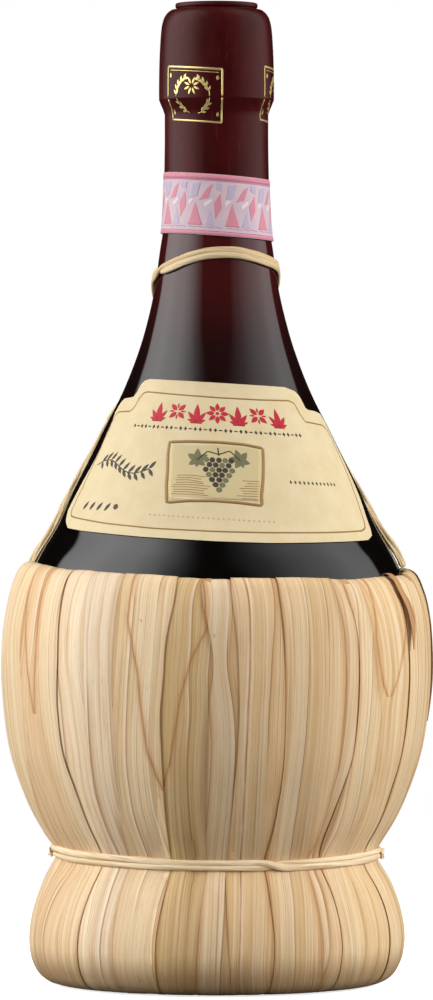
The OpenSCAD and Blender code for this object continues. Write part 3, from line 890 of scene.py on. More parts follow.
for k, (lp, rp, tint, base, brown) in enumerate(TIPS):
    lp, rp = sorted(lp), sorted(rp)
    tip_a = np.interp(max(lp[0][0], rp[0][0]), _raw[20:_turn, 1], _ra[20:_turn])
    a = rows_for(tip_a, _top + 2.2)
    hh = np.where(a > _top, 112.5, path_at(a)[0][:, 1])
    azl = smooth_rows(np.interp(hh, [p[0] for p in lp], [p[1] for p in lp]), 1) + 0.12 * noise2(hh * 0.3, k, 51)
    azr = smooth_rows(np.interp(hh, [p[0] for p in rp], [p[1] for p in rp]), 1) + 0.12 * noise2(hh * 0.3, k + 9, 52)
    azr = np.maximum(azr, azl + 0.3)
    fade = smooth01(hh, hh[0], hh[0] + 6)
    blade(tips, a, azl, azr, 60.0 + k, TINTS[tint], lift=(0.05, 0.08), brown=brown, base=base, crown=0.05,
          thick=0.24, vein=(2.0, 0.15), cell=((k % 12) / 12 + 0.002, (k % 12 + 1) / 12 - 0.002, 0.01, 0.99))
piece("straw_blade_tips", tips, leaf.m, sharp=55)

# ---------------------------------------------------------------- the layer below, lining, ring and braid
lo_a = np.interp(4.0, _raw[:80, 1], _ra[:80])
hi_a = np.interp(105.0, _raw[20:_turn, 1], _ra[20:_turn])
mid_rows = rows_for(lo_a, hi_a, 2.2)
hm = path_at(mid_rows)[0][:, 1]
under = Soup()
for k in range(36):
    c0 = (k + 0.5) * 10 + rs.uniform(-1.2, 1.2) + 0.6 * noise2(hm * 0.05, k, 55)
    w = rs.uniform(3.7, 4.4)
    # the layer below is drawn darker (dark=0.35 and the shaded leaf copy): painted shade
    blade(under, mid_rows, c0 - w, c0 + w, 100.0 + k, TINTS[rs.choice(list("aefg"))], lift=(0.02, 0.02),
          brown=(0.8, 0.8), base=-1.02, cols=6, thick=0.42, crown=0.04, dark=0.35,
          cell=(k / 36 + 0.001, (k + 1) / 36 - 0.001, 0.01, 0.99))
piece("straw_blades_under", under, leaf_shaded.m, replaces=("under_blades",), sharp=55)

# ---------------------------------------------------------------- cords, lining, ring and braid
def fibre(name, light, mid, dark, fine=1.0, rough=0.62):
    """Lengthwise dry fibres on a cord, from the fib attribute: round it, along it, which one."""
    m = Mat(name)
    q = m.xyz(m.attr("fib"))
    seed = m.mul(q[2], 5.17)
    f0 = m.noise(m.vec(m.mul(q[0], 0.7 * fine), m.mul(q[1], 0.035), seed), 1.0, 2.0)
    f1 = m.noise(m.vec(m.mul(q[0], 2.4 * fine), m.mul(q[1], 0.07), seed), 1.0, 3.0, 0.6)
    f2 = m.noise(m.vec(m.mul(q[0], 4.0 * fine), m.mul(q[1], 0.06), seed), 1.0, 2.0)
    c = m.mix(m.map(f0, 0.35, 0.68), hexc(mid), hexc(light))
    c = m.mix(m.map(f1, 0.30, 0.46, 0.75, 0.0, True), c, hexc(dark))
    c = m.mix(m.map(f2, 0.32, 0.46, 0.45, 0.0, True), c, hexc(dark))
    c = m.mix(m.map(f1, 0.58, 0.72, 0.0, 0.35, True), c, hexc(light))
    m.set(Base_Color=c, Roughness=m.map(f1, 0.3, 0.7, rough + 0.1, rough - 0.08),
          Normal=m.bump(m.plus(f1, m.mul(f2, 0.25)), 0.00022, 0.5))
    m.b.inputs["Specular IOR Level"].default_value = 0.3
    return m


cord_mat = fibre("straw_cord", "#dcc7a2", "#c9ae82", "#9c7a4e")
raffia_mat = fibre("raffia", "#efdcbc", "#e0c69c", "#bc9564", 1.2)
core_mat = fibre("straw_core", "#d2b884", "#b89a62", "#7f6236", 0.8, 0.7)


def rope(soup, C, U, w, t, ident, sides=14, closed=False, ridges=((5, 0.07),), twist=0.0, taper=0.0, cell=None):
    """A strand swept along points C (mm), with U pointing away from what it lies on."""
    C, U = np.asarray(C, float), np.asarray(U, float)
    m = len(C)
    if closed:
        T = np.roll(C, -1, 0) - np.roll(C, 1, 0)
        seg = np.linalg.norm(np.roll(C, -1, 0) - C, axis=1)
        s = np.concatenate([[0], np.cumsum(seg)[:-1]])
        total = seg.sum()
    else:
        T = np.gradient(C, axis=0)
        s = arc(C)
        total = s[-1]
    T = T / np.maximum(np.linalg.norm(T, axis=1), 1e-9)[:, None]
    U = U - (U * T).sum(1)[:, None] * T
    U = U / np.maximum(np.linalg.norm(U, axis=1), 1e-9)[:, None]
    V = np.cross(T, U)
    th = 2 * math.pi * np.arange(sides) / sides
    tw = np.asarray(twist * s, float) if closed is False else np.round(twist * total / (2 * math.pi)) * 2 * math.pi * s / total
    f = 1 + 0 * (th[None, :] + tw[:, None])
    for k, amp in ridges:
        f = f + amp * np.cos(k * (th[None, :] + tw[:, None]) + 1.3 * k + ident)
    if taper and not closed:
        e = np.minimum(s, total - s) / taper
        f = f * np.sqrt(np.clip(e, 0.02, 1))[:, None]
    ww = np.broadcast_to(np.asarray(w, float), (m,))[:, None]
    tt = np.broadcast_to(np.asarray(t, float), (m,))[:, None]
    P = C[:, None, :] + (f * ww * np.cos(th))[..., None] * V[:, None, :] \
        + (f * tt * np.sin(th))[..., None] * U[:, None, :]
    per = math.pi * (float(np.mean(ww)) + float(np.mean(tt)))
    around = (th[None, :] + tw[:, None]) / (2 * math.pi) * per
    fib = np.stack(np.broadcast_arrays(around, s[:, None], float(ident)), -1)
    soup.grid(P * MM, wrap_u=closed, wrap_v=True, cap=not closed, fib=fib)
    return total


def out_dir(az, lean=0.0):
    a = np.radians(az)
    az = np.asarray(az, float)
    return np.stack([np.sin(a), -np.cos(a), 0 * az + lean], -1)


# the neck loop: two flat plies side by side that cross over at the left and behind
az = np.linspace(-180, 180, 241)[:-1]
lz = 185.9 + 8.3 * np.cos(np.radians(az)) + 1.2 * np.sin(np.radians(az)) \
    + 2.9 * np.exp(-((np.abs(az) - 92) / 30) ** 2)
psi = math.pi * smooth01(az, -78, -52) + math.pi * smooth01(az, 128, 172)
pinch = 1 - 0.30 * np.exp(-((az + 66) / 9) ** 2)
lr = flask_r(lz) + 0.62
Cl = polar(lr, lz, az) / MM
Ul = out_dir(az, flask_lean(lz))
Ul = Ul / np.linalg.norm(Ul, axis=1)[:, None]
Tl = np.roll(Cl, -1, 0) - np.roll(Cl, 1, 0)
Tl = Tl / np.linalg.norm(Tl, axis=1)[:, None]
Vl = np.cross(Tl, Ul)
s = Soup()
loop_len = []
for k in (0, 1):
    p = psi + math.pi * k
    off = (0.62 * np.cos(p))[:, None] * Vl + (0.26 * np.sin(p) + 0.10 * np.abs(np.sin(p)))[:, None] * Ul
    wob = 0.06 * noise2(az * 0.09, k * 9.1, 61)
    loop_len.append(rope(s, Cl + off + wob[:, None] * Vl, Ul, (0.93 + 0.06 * noise2(az * 0.07, k, 62)) * pinch, 0.55, 1 + k, 20, True,
                         ((3, 0.03), (7, 0.04), (11, 0.03)), 0.03))
piece("neck_loop_cord", s, cord_mat.m, replaces=("neck_loop",))

# the two side strands, each of three twisted plies, and a thin loose straw beside them
for sign, skew, name, node in ((-1, 0, "strand_cord_left", "strand_left"), (1, 5, "strand_cord_right", "strand_right")):
    q = spline(STRAND + [[110.8, 1.3, 95.2]], 14)
    z, off = q[:, 0], q[:, 1]
    a0 = q[:, 2] + skew * smooth01(z, 113, 140) - (4.5 if skew else 0.0) * (1 - smooth01(z, 112, 128))
    a0 = sign * a0
    U = out_dir(a0, flask_lean(z))
    U = U / np.linalg.norm(U, axis=1)[:, None]
    off = np.where(z < 150, np.minimum(off, 1.22 + 0.4 * smooth01(z, 130, 150)), off)
    C = polar(flask_r(z) + off, z, a0) / MM
    T = np.gradient(C, axis=0)
    T = T / np.linalg.norm(T, axis=1)[:, None]
    V = np.cross(T, U)
    L = arc(C)
    s = Soup()
    for k in range(3):
        ph = 2 * math.pi * (k / 3 + L / 46.0) + 0.5 * np.sin(L / 17 + k)
        o = (0.58 * np.cos(ph))[:, None] * V + (0.50 * np.sin(ph))[:, None] * U
        rope(s, C + o, U, 0.70 + 0.06 * noise2(L * 0.08, k, 63), 0.62, 11 + k, 12, False,
             ((3, 0.06), (7, 0.05)), 0.25, 0.9)
    dip = 0.6 * np.sin(math.pi * L / L[-1]) ** 2
    o = (sign * (1.35 + dip))[:, None] * V + (-0.55) * U
    keep = (L > 22)
    rope(s, (C + o)[keep], U[keep], 0.32, 0.26, 15, 8, False, ((3, 0.08),), 0.1, 0.6)
    piece(name, s, cord_mat.m, replaces=(node,))

# the wraps behind, which tie the strands to the loop
s = Soup()
for n_w, (wa, wz) in enumerate(((-153, 177.0), (158, 177.6))):
    base = polar(float(flask_r(178)) + 3.55, wz, wa) / MM
    R, Tn = out_dir(wa), np.array([math.cos(math.radians(wa)), math.sin(math.radians(wa)), 0])
    ax = np.array([0, 0, 1]) * math.cos(math.radians(30)) - R * math.sin(math.radians(30))
    e1 = np.cross(Tn, ax)
    t = np.linspace(0, 4.2 * 2 * math.pi, 120)
    C = base + (0.88 * np.cos(t))[:, None] * e1 + (0.88 * np.sin(t))[:, None] * Tn + ((t / t[-1] - 0.5) * 2.6)[:, None] * ax
    rope(s, C, np.cos(t)[:, None] * e1 + np.sin(t)[:, None] * Tn, 0.38, 0.34, 21 + n_w, 9, False, ((3, 0.08),), 0.4, 0.5)
    C = base + np.linspace(-2.1, 2.1, 14)[:, None] * ax
    rope(s, C, np.tile(e1, (14, 1)), 0.58, 0.58, 23 + n_w, 10, False, ((4, 0.1),), 0.5, 0.5)
piece("strand_wraps", s, cord_mat.m, replaces=("strand_knots",))

# the cord inside the rim
az = np.linspace(-180, 180, 181)[:-1]
d = rim_drop(az)
s = Soup()
for k in range(3):
    ph = np.radians(az) * 26 + 2 * math.pi * k / 3
    rope(s, polar(51.5 - 0.42 * d + 0.38 * np.cos(ph), 109.3 + d + 0.38 * np.sin(ph), az) / MM, out_dir(az),
         0.5, 0.5, 31 + k, 8, True, ((3, 0.05),), 0.2)
piece("rim_core_cord", s, core_mat.m, replaces=("rim_cord",))

# the lining: upright straws between the blades and the glass
zz = np.concatenate([np.linspace(33.8, 100, 30), np.linspace(102, 106.2, 4)])
ar = np.interp(zz, _raw[50:_turn, 1], _ra[50:_turn])
az = np.arange(288) * 360 / 288.0
A2 = np.broadcast_to(az[None, :], (len(zz), 288))
rib = 0.16 * np.abs(np.sin(np.radians(A2) * 48 + 0.6 * noise2(zz[:, None] * 0.05, A2 * 0.05, 71)))
outw = on_basket(ar, A2, -2.15 + rib)
d = rim_drop(A2) * smooth01(zz[:, None], 86, 110)
zin = zz[:, None] + d
inw = polar(np.interp(zin, FL[:, 1], FL[:, 0]) + 0.42, zin, A2)[::-1]
P = np.concatenate([outw, inw], 0)
s = Soup()
fib = np.stack(np.broadcast_arrays(A2 * 0.9, np.concatenate([zz, zz[::-1]])[:, None] if False else zz[:, None], 1.0), -1)
fib = np.concatenate([fib, fib[::-1]], 0)
s.grid(P, wrap_u=True, wrap_v=True, fib=fib)
piece("straw_lining", s, core_mat.m, replaces=("basket_lining",))

# the ring of bundled straw under the flask: coils with scalloped sides
prof = []
for z in np.arange(20.6, 3.0, -0.35):
    prof.append((24.3 + 0.55 * (1 - abs(math.sin(math.pi * z / 2.9))), z))
for r in np.arange(24.6, 41.2, 0.35):
    prof.append((r, 2.75 + 0.50 * (1 - abs(math.sin(math.pi * r / 2.9)))))
sel = (_raw[:, 1] > 4) & (_raw[:, 1] < 32.4) & (np.arange(len(_raw)) < _turn)
NB = normals2(_raw)
for p, n in zip(_raw[sel][::3], NB[sel][::3]):
    prof.append(tuple(p - 2.0 * n))
gl = FL[(FL[:, 1] > 20.9) & (FL[:, 1] < 32.6)] + 0.4 * FL_N[(FL[:, 1] > 20.9) & (FL[:, 1] < 32.6)]
gl = gl[gl[:, 0] > 24.5]
prof += [tuple(p) for p in gl[::-1]]
prof = np.array(prof)
az = np.arange(180) * 2.0
A2 = np.broadcast_to(az[None, :], (len(prof), 180))
coil = 0.06 * np.sin(np.radians(A2) * 90 + arc(prof)[:, None] * 1.6)
s = Soup()
P = polar(prof[:, :1] + coil, prof[:, 1:2], A2)
fib = np.stack(np.broadcast_arrays(arc(prof)[:, None] * 1.0, A2 * 0.55 + arc(prof)[:, None] * 0.5, 2.0), -1)
s.grid(P[::-1], wrap_u=True, wrap_v=True, fib=fib)
piece("base_bundle", s, core_mat.m, replaces=("base_ring",))

# the flat plait that the flask stands on: three strands in a ring
az = np.linspace(-180, 180, 433)[:-1]
s = Soup()
for k in range(3):
    ph = np.radians(az) * 22 + 2 * math.pi * k / 3
    rr = 31.0 + 1.9 * np.sin(ph)
    zc = 0.74 + 0.30 * np.cos(2 * ph + 0.6)
    rope(s, polar(rr, zc, az) / MM, np.tile([0, 0, 1.0], (len(az), 1)), 1.75, 0.36, 41 + k, 12, True, ((2, 0.03),), 0.0)
piece("foot_plait", s, core_mat.m, replaces=("foot_braid",))


# ---------------------------------------------------------------- the waist cord
az = np.linspace(-180, 180, 361)[:-1]
mid_z = waist_mid(az)
prof_z, prof_r = _raw[50:_turn, 1], _raw[50:_turn, 0]
cross = math.pi * smooth01(az, 13, 27) + math.pi * smooth01(az, 120, 150)
sep = 0.80 - 0.22 * smooth01(az, -38, -12) + 0.14 * smooth01(az, 30, 60) + 0.08 * smooth01(az, 100, 140)
for k, (name, node) in enumerate((("waist_cord_a", "waist_cord_upper"), ("waist_cord_b", "waist_cord_lower"))):
    p = cross + math.pi * k
    wz = mid_z + sep * np.cos(p) + 0.07 * noise2(az * 0.06, k * 7.7, 81)
    thick = np.where(k == 0, 0.90, 0.76) + 0.05 * noise2(az * 0.05, k, 82)
    rr = np.interp(wz, prof_z, prof_r) + 0.60 + 0.46 * np.abs(np.sin(p)) * (np.sin(p) > 0) * 1.3
    s = Soup()
    rope(s, polar(rr, wz, az) / MM, out_dir(az), thick, 0.62, 51 + k, 18, True, ((3, 0.06), (6, 0.05), (10, 0.03)), 0.06)
    piece(name, s, raffia_mat.m, replaces=(node,))

# its two knots and their short ends
s = Soup()
for n_w, (wa, sg) in enumerate(((86, 1), (-87, -1))):
    R = out_dir(wa)
    Tn = np.array([math.cos(math.radians(wa)), math.sin(math.radians(wa)), 0])
    Z = np.array([0, 0, 1.0])
    base = polar(44.0, float(waist_mid(wa)), wa) / MM
    t = np.linspace(0, 2 * math.pi, 97)[:-1]
    x, y, w = np.sin(t) + 2 * np.sin(2 * t), np.cos(t) - 2 * np.cos(2 * t), -np.sin(3 * t)
    C = base + 0.42 * (x[:, None] * Tn + y[:, None] * Z) + (0.16 * w)[:, None] * R
    rope(s, C, np.tile(R, (96, 1)) + 0.01, 0.44, 0.36, 61 + n_w, 10, True, ((3, 0.08),), 0.3)
    for e, (dx, dz) in enumerate(((1.0, 0.75), (-0.35, -1.25), (0.9, -0.5))):
        u = np.linspace(0, 1, 12)
        C = base + (0.3 + 2.6 * u * abs(dx))[:, None] * Tn * np.sign(dx) + (1.2 * dz * u)[:, None] * Z \
            + (0.12 + 0.30 * np.sin(u * 2.2) + 0.25 * u * abs(dz))[:, None] * R
        rope(s, C, np.tile(R, (12, 1)), 0.40 - 0.06 * e, 0.20, 65 + 3 * n_w + e, 8, False, ((3, 0.1),), 0.6, 0.5)
piece("waist_knot_ends", s, raffia_mat.m, replaces=("waist_knots",))

# ---------------------------------------------------------------- the capsule
def film(name, base, rough):
    m = Mat(name)
    o = m.obj()
    n1 = m.noise(m.scaled(o, 0.16, 0.16, 0.05), 1.0, 3.0)
    n2 = m.noise(m.scaled(o, 0.5, 0.5, 1.6), 1.0, 3.0)
    n3 = m.noise(m.scaled(o, 1.4, 1.4, 0.10), 1.0, 2.0)
    c = m.mix(m.map(n1, 0.35, 0.68), base, tuple(x * 1.7 for x in base))
    c = m.mix(m.map(n3, 0.62, 0.74, 0, 0.25, True), c, (0.16, 0.03, 0.03))
    m.set(Base_Color=c, Roughness=m.map(n1, 0.3, 0.7, rough, rough + 0.10),
          Normal=m.bump(m.plus(m.mul(n2, 0.4), n1), 0.00016, 0.5))
    m.b.inputs["Specular IOR Level"].default_value = 0.16
    return m


film_mat = film("wine_red_film", (0.031, 0.0019, 0.0019), 0.30)
disc_mat = film("wine_red_disc", (0.038, 0.0038, 0.0038), 0.34)

CAP = [[15.3, 235.22], [15.32, 239], [15.2, 246], [14.85, 252.6], [14.4, 255.8],
       [13.6, 257.8], [12.4, 259], [11.4, 259.3], [9, 259.3]]
SLV = [[14.1, 232.2], [14.35, 232.9], [15.05, 234.6], [15.3, 235.2]]
cap_out = spline(CAP, 6)
cap_n = normals2(cap_out)
cap_in = cap_out - 0.3 * cap_n
cap_in[-1, 0] = cap_out[-1, 0]
low = FL[(FL[:, 1] >= 203) & (FL[:, 1] < 231.4)]
low_n = FL_N[(FL[:, 1] >= 203) & (FL[:, 1] < 231.4)]
slv_out = np.concatenate([low + 0.35 * low_n, spline(SLV, 5)])
slv_in = np.concatenate([low + 0.05 * low_n, spline([[13.82, 232.5], [14.1, 233.2], [14.76, 234.8], [15.0, 235.2]], 5)])


def crimp(az, z):
    """Fine wrinkles where the film shrank round the shoulder of the lip and under it."""
    w = np.exp(-((z - 257.3) / 1.0) ** 2) * 0.035 * ring_noise(az, 70, z * 1.3, 91)
    w = w + np.exp(-((z - 233.0) / 1.2) ** 2) * 0.05 * ring_noise(az, 46, z * 0.4, 92)
    w = w + 0.02 * ring_noise(az, 9, z * 0.08, 93)
    seam = np.exp(-((wrap180(az - 112) / 0.9) ** 2)) * 0.06
    return w + seam * (z < 256)


s = Soup()
closed_lathe(s, np.concatenate([cap_out, cap_in[::-1]]), 192, crimp)
piece("capsule_film_top", s, film_mat.m, "capsule_top", ("capsule_cap",), 50)
s = Soup()
closed_lathe(s, np.concatenate([slv_out, slv_in[::-1]]), 192, crimp)
piece("capsule_film_sleeve", s, film_mat.m, "flask", ("capsule_sleeve",), 50)
s = Soup()
disc = np.concatenate([[[0, 259.4], [10.3, 259.4]], spline([[10.35, 259.65], [10.8, 259.8], [10.95, 260.05],
       [10.95, 260.65], [10.83, 260.88], [10.6, 261], [9.75, 261], [9.35, 260.8]], 4),
       [[8.6, 260.78], [6.2, 260.8], [6.0, 260.86], [5.8, 260.8], [3, 260.79], [0, 260.8]]])
lathe(s, disc, 128)
piece("capsule_disc", s, disc_mat.m, "capsule_top", ("capsule_top_disc",), 40)

# ---------------------------------------------------------------- flat prints laid on a curved surface
DEG = math.pi / 180


def cap_r(z):
    z = np.asarray(z, float)
    return np.where(z > 235.3, np.interp(z, cap_out[:36, 1], cap_out[:36, 0]), np.interp(z, slv_out[:, 1], slv_out[:, 0]))


def skin_r(az, z):
    return flask_r(z) + blown(np.asarray(az, float), np.asarray(z, float))


TILT = math.tan(math.radians(3.5))
STILT = math.tan(math.radians(4.2))


def on_label(az, h, off):
    az, h = np.broadcast_arrays(np.asarray(az, float), np.asarray(h, float))
    z = h + 0.0
    for _ in range(6):
        z = h - TILT * flask_r(z) * np.sin(az * DEG)
    lean = flask_lean(z)
    return polar(skin_r(az, z) + off * np.sqrt(1 + lean ** 2), z, az)


def on_strip(az, v, off):
    az, v = np.broadcast_arrays(np.asarray(az, float), np.asarray(v, float))
    z = 206.8 + v - STILT * 14.3 * np.sin(az * DEG)
    return polar(flask_r(z) + off, z, az)


def on_cap(az, z, off):
    az, z = np.broadcast_arrays(np.asarray(az, float), np.asarray(z, float))
    return polar(cap_r(z) + crimp(az, z) + off, z, az)


def slab(soup, where, A, H, lo, hi):
    """A closed thin sheet over a grid of angle and height, from lo to hi above the surface."""
    P = np.concatenate([where(A, H, hi), where(A, H, lo)[:, ::-1]], 1)
    soup.grid(P, wrap_v=True, cap=True)


def patch(soup, where, poly, lo, hi, rows=9, cols=6):
    """A convex outline of (angle, height) filled with a fine grid."""
    poly = np.asarray(poly, float)
    a, b = poly, np.roll(poly, -1, 0)
    h0, h1 = poly[:, 1].min(), poly[:, 1].max()
    t = 0.5 - 0.5 * np.cos(np.linspace(0.12, math.pi - 0.12, rows))
    hs = h0 + (h1 - h0) * t
    L, R = [], []
    for h in hs:
        xs = []
        for p, q in zip(a, b):
            if (p[1] - h) * (q[1] - h) <= 0 and p[1] != q[1]:
                xs.append(p[0] + (q[0] - p[0]) * (h - p[1]) / (q[1] - p[1]))
        L.append(min(xs))
        R.append(max(xs))
    L, R = np.array(L), np.array(R)
    R = np.maximum(R, L + 0.02)
    A = L[:, None] + (R - L)[:, None] * np.linspace(0, 1, cols)[None, :]
    slab(soup, where, A, np.broadcast_to(hs[:, None], A.shape), lo, hi)


def ribbon(soup, where, pts, width, lo, hi, mm, closed=False, step=0.7, lift=1.0):
    """A line of ink of one width. mm is millimetres to a degree, lift millimetres to a unit of height."""
    pts = np.asarray(pts, float) * [mm, lift]
    if closed:
        pts = np.concatenate([pts, pts[:1]])
    s0 = arc(pts)
    n = max(int(s0[-1] / step), 3)
    t = np.linspace(0, s0[-1], n + 1)
    q = np.stack([np.interp(t, s0, pts[:, 0]), np.interp(t, s0, pts[:, 1])], 1)
    if closed:
        q = q[:-1]
        d = np.roll(q, -1, 0) - np.roll(q, 1, 0)
    else:
        d = np.gradient(q, axis=0)
    d = d / np.maximum(np.linalg.norm(d, axis=1), 1e-9)[:, None]
    nrm = np.stack([-d[:, 1], d[:, 0]], 1) * width / 2
    l, r = (q + nrm) / [mm, lift], (q - nrm) / [mm, lift]
    A = np.stack([l[:, 0], r[:, 0]], 1)
    H = np.stack([l[:, 1], r[:, 1]], 1)
    P = np.concatenate([where(A, H, hi), where(A, H, lo)[:, ::-1]], 1)
    soup.grid(P, wrap_u=closed, wrap_v=True, cap=not closed)


def petal(cx, cy, length, width, deg, mm, lift=1.0, k=9):
    """A pointed leaf outline that starts at (cx, cy) and grows in one direction."""
    t = np.linspace(0, 1, k)
    w = width / 2 * np.sin(math.pi * t ** 0.85)
    up = np.stack([t * length, w], 1)
    dn = np.stack([t * length, -w], 1)[::-1]
    p = np.concatenate([up, dn[1:-1]])
    c, s_ = math.cos(deg * DEG), math.sin(deg * DEG)
    x, y = p[:, 0] * c - p[:, 1] * s_, p[:, 0] * s_ + p[:, 1] * c
    return np.stack([cx + x / mm, cy + y / lift], 1)


def disc_poly(cx, cy, rad, mm, lift=1.0, k=12):
    t = np.arange(k) * 2 * math.pi / k
    return np.stack([cx + rad * np.cos(t) / mm, cy + rad * np.sin(t) / lift], 1)


def ink(name, color, rough=0.55, metal=0.0, vary=0.25):
    m = Mat(name)
    o = m.obj()
    n = m.noise(o, 2.2, 3.0)
    c = hexc(color)[:3]
    m.set(Base_Color=m.mix(m.map(n, 0.3, 0.7, 0, 1), c, tuple(x + (0.35 - x) * vary * 0.5 for x in c)),
          Roughness=m.map(n, 0.3, 0.7, rough, rough + 0.12))
    m.b.inputs["Metallic"].default_value = metal
    return m


# ---------------------------------------------------------------- gold on the capsule
gold = ink("gold_foil", "#ecd68c", 0.32, 0.75, 0.2)
g_top, g_low = Soup(), Soup()
mmc = 15.2 * DEG
SL = math.tan(math.radians(4))


def gold_line(pts, w=0.36):
    """Splits a line at the cut, so that each part rides on its own piece of film."""
    pts = np.asarray(pts, float)
    t = np.linspace(0, 1, 160)
    s0 = arc(pts * [mmc, 1])
    q = np.stack([np.interp(t * s0[-1], s0, pts[:, 0]), np.interp(t * s0[-1], s0, pts[:, 1])], 1)
    for soup, keep in ((g_top, q[:, 1] > 235.42), (g_low, q[:, 1] < 235.05)):
        idx = np.flatnonzero(keep)
        if len(idx) < 4:
            continue
        for run in np.split(idx, np.flatnonzero(np.diff(idx) > 1) + 1):
            if len(run) >= 4:
                ribbon(soup, on_cap, q[run], w, -0.03, 0.045, mmc, step=0.5)


def gold_leaf(cx, cz, length, width, deg):
    p = petal(cx, cz, length, width, deg, mmc)
    if p[:, 1].min() > 235.6:
        patch(g_top, on_cap, p, -0.03, 0.045)
    elif p[:, 1].max() < 235.0:
        patch(g_low, on_cap, p, -0.03, 0.045)


for c0 in (-25.6, 88.0, 208.0):
    def at(x, y):
        """Millimetres from the middle of the emblem to angle and height."""
        return (c0 + x / mmc, 236.1 + y - SL * x)
    hw, hh = 8.3, 7.0
    gold_line([at(-hw, hh), at(hw, hh)], 0.62)
    gold_line([at(-hw, -hh), at(hw, -hh)], 0.5)
    gold_line([at(-hw, -hh), at(-hw, hh)], 0.45)
    gold_line([at(hw, -hh), at(hw, hh)], 0.45)
    gold_line([at(-hw + 1, hh - 0.9), at(hw - 1, hh - 0.9)], 0.2)
    for k in range(9):
        a = math.radians(-62 + k * 15.5)
        for sg in (-1, 1):
            x, y = sg * 5.0 * math.cos(a), 4.9 * math.sin(a) - 0.2
            gold_leaf(*at(x, y), 1.75, 0.72, math.degrees(math.atan2(math.cos(a), -sg * math.sin(a))) + sg * 28)
            gold_leaf(*at(x, y), 1.45, 0.6, math.degrees(math.atan2(math.cos(a), -sg * math.sin(a))) - sg * 30)
    gold_line([at(5.0 * math.cos(math.radians(t)), 4.9 * math.sin(math.radians(t)) - 0.2) for t in range(-75, 76, 6)], 0.2)
    gold_line([at(-5.0 * math.cos(math.radians(t)), 4.9 * math.sin(math.radians(t)) - 0.2) for t in range(-75, 76, 6)], 0.2)
    for k in range(8):
        a = 22.5 + 45 * k
        gold_leaf(*at(0.55 * math.cos(a * DEG), 2.2 + 0.55 * math.sin(a * DEG)), 1.9, 0.62, a)
    for sx in (-7.1, 7.1):
        gold_leaf(*at(sx, -5.6), 1.4, 0.7, 90)
        gold_leaf(*at(sx, 4.0), 1.4, 0.7, 90)
piece("capsule_gold_top", g_top, gold.m, "capsule_top")
piece("capsule_gold_sleeve", g_low, gold.m, "flask")


# ---------------------------------------------------------------- paper strip and label
def paper(name, light, dark, tint_noise=0.12, rough=0.62):
    m = Mat(name)
    o = m.obj()
    n1 = m.noise(o, 0.22, 3.0)
    n2 = m.noise(o, 3.2, 3.0, 0.6)
    c = m.mix(m.map(n1, 0.35, 0.68), hexc(light), hexc(dark))
    c = m.mix(m.map(n2, 0.60, 0.72, 0, 0.20, True), c, hexc(dark))
    m.set(Base_Color=c, Roughness=m.map(n2, 0.3, 0.7, rough, rough + 0.12), Normal=m.bump(n2, 0.00005, 0.5))
    m.b.inputs["Specular IOR Level"].default_value = 0.35
    return m


strip_paper = paper("strip_paper", "#cbb3b8", "#bfadba")
s = Soup()
az = np.arange(144) * 2.5
v = np.linspace(-8.1, 8.1, 13)
A, V = np.meshgrid(az, v)
P = np.concatenate([on_strip(A, V, 0.55), on_strip(A, V, 0.42)[::-1]], 0)
s.grid(P, wrap_u=True, wrap_v=True)
piece("paper_strip", s, strip_paper.m, replaces=("seal_strip",), sharp=40)


def ring_band(soup, v0, v1):
    A, V = np.meshgrid(np.arange(144) * 2.5, np.linspace(v0, v1, 3))
    P = np.concatenate([on_strip(A, V, 0.585), on_strip(A, V, 0.53)[::-1]], 0)
    soup.grid(P, wrap_u=True, wrap_v=True)


mms = 14.45 * DEG
pink, deep, lilac, cream = Soup(), Soup(), Soup(), Soup()
ring_band(pink, 6.55, 8.0)
ring_band(deep, 6.25, 6.45)
ring_band(pink, -8.0, -7.2)
ring_band(deep, -7.12, -6.95)
for k in range(9):
    c = -180 + 40 * k + 8
    w = 39.0

    def sp(x, y):
        return (c + x * w / 2, y)
    patch(pink, on_strip, [sp(-1, -5.6), sp(-0.15, -5.6), sp(-0.57, 0.6)], 0.53, 0.585, 10, 10)
    patch(pink, on_strip, [sp(-0.35, 1.0), sp(0.15, 1.6), sp(0.42, 5.4), sp(0.1, 4.4)], 0.53, 0.585, 10, 10)
    patch(pink, on_strip, [sp(0.55, -3.8), sp(0.92, -0.6), sp(0.85, 3.2), sp(0.45, 0.2)], 0.53, 0.585, 10, 10)
    patch(lilac, on_strip, [sp(-0.9, 1.6), sp(-0.45, 1.9), sp(-0.25, 5.7), sp(-0.8, 5.4)], 0.53, 0.585, 10, 10)
    patch(lilac, on_strip, [sp(-0.05, -5.6), sp(0.5, -5.7), sp(0.3, -1.2)], 0.53, 0.585, 10, 10)
    patch(cream, on_strip, [sp(-0.95, -0.4), sp(-0.62, 1.2), sp(-0.85, 1.3), sp(-1.0, 0.6)], 0.53, 0.585, 8, 8)
    patch(cream, on_strip, [sp(0.0, -0.8), sp(0.42, 0.9), sp(0.36, 1.6), sp(-0.08, 0.2)], 0.53, 0.585, 8, 8)
    patch(lilac, on_strip, [sp(0.55, 4.2), sp(0.95, 3.6), sp(0.98, 5.8), sp(0.6, 5.9)], 0.53, 0.585, 8, 8)
    for j in range(4):
        x0 = -0.9 + 0.47 * j
        ribbon(deep, on_strip, [sp(x0, -5.9), sp(x0 + 0.42, -6.2)], 0.14, 0.53, 0.59, mms)
piece("strip_print_pink", pink, ink("print_pink", "#cb8090").m)
piece("strip_print_deep", deep, ink("print_rose", "#b86484").m)
piece("strip_print_lilac", lilac, ink("print_lilac", "#b5a5bb").m)
piece("strip_print_cream", cream, ink("print_pale", "#dccdcc").m)

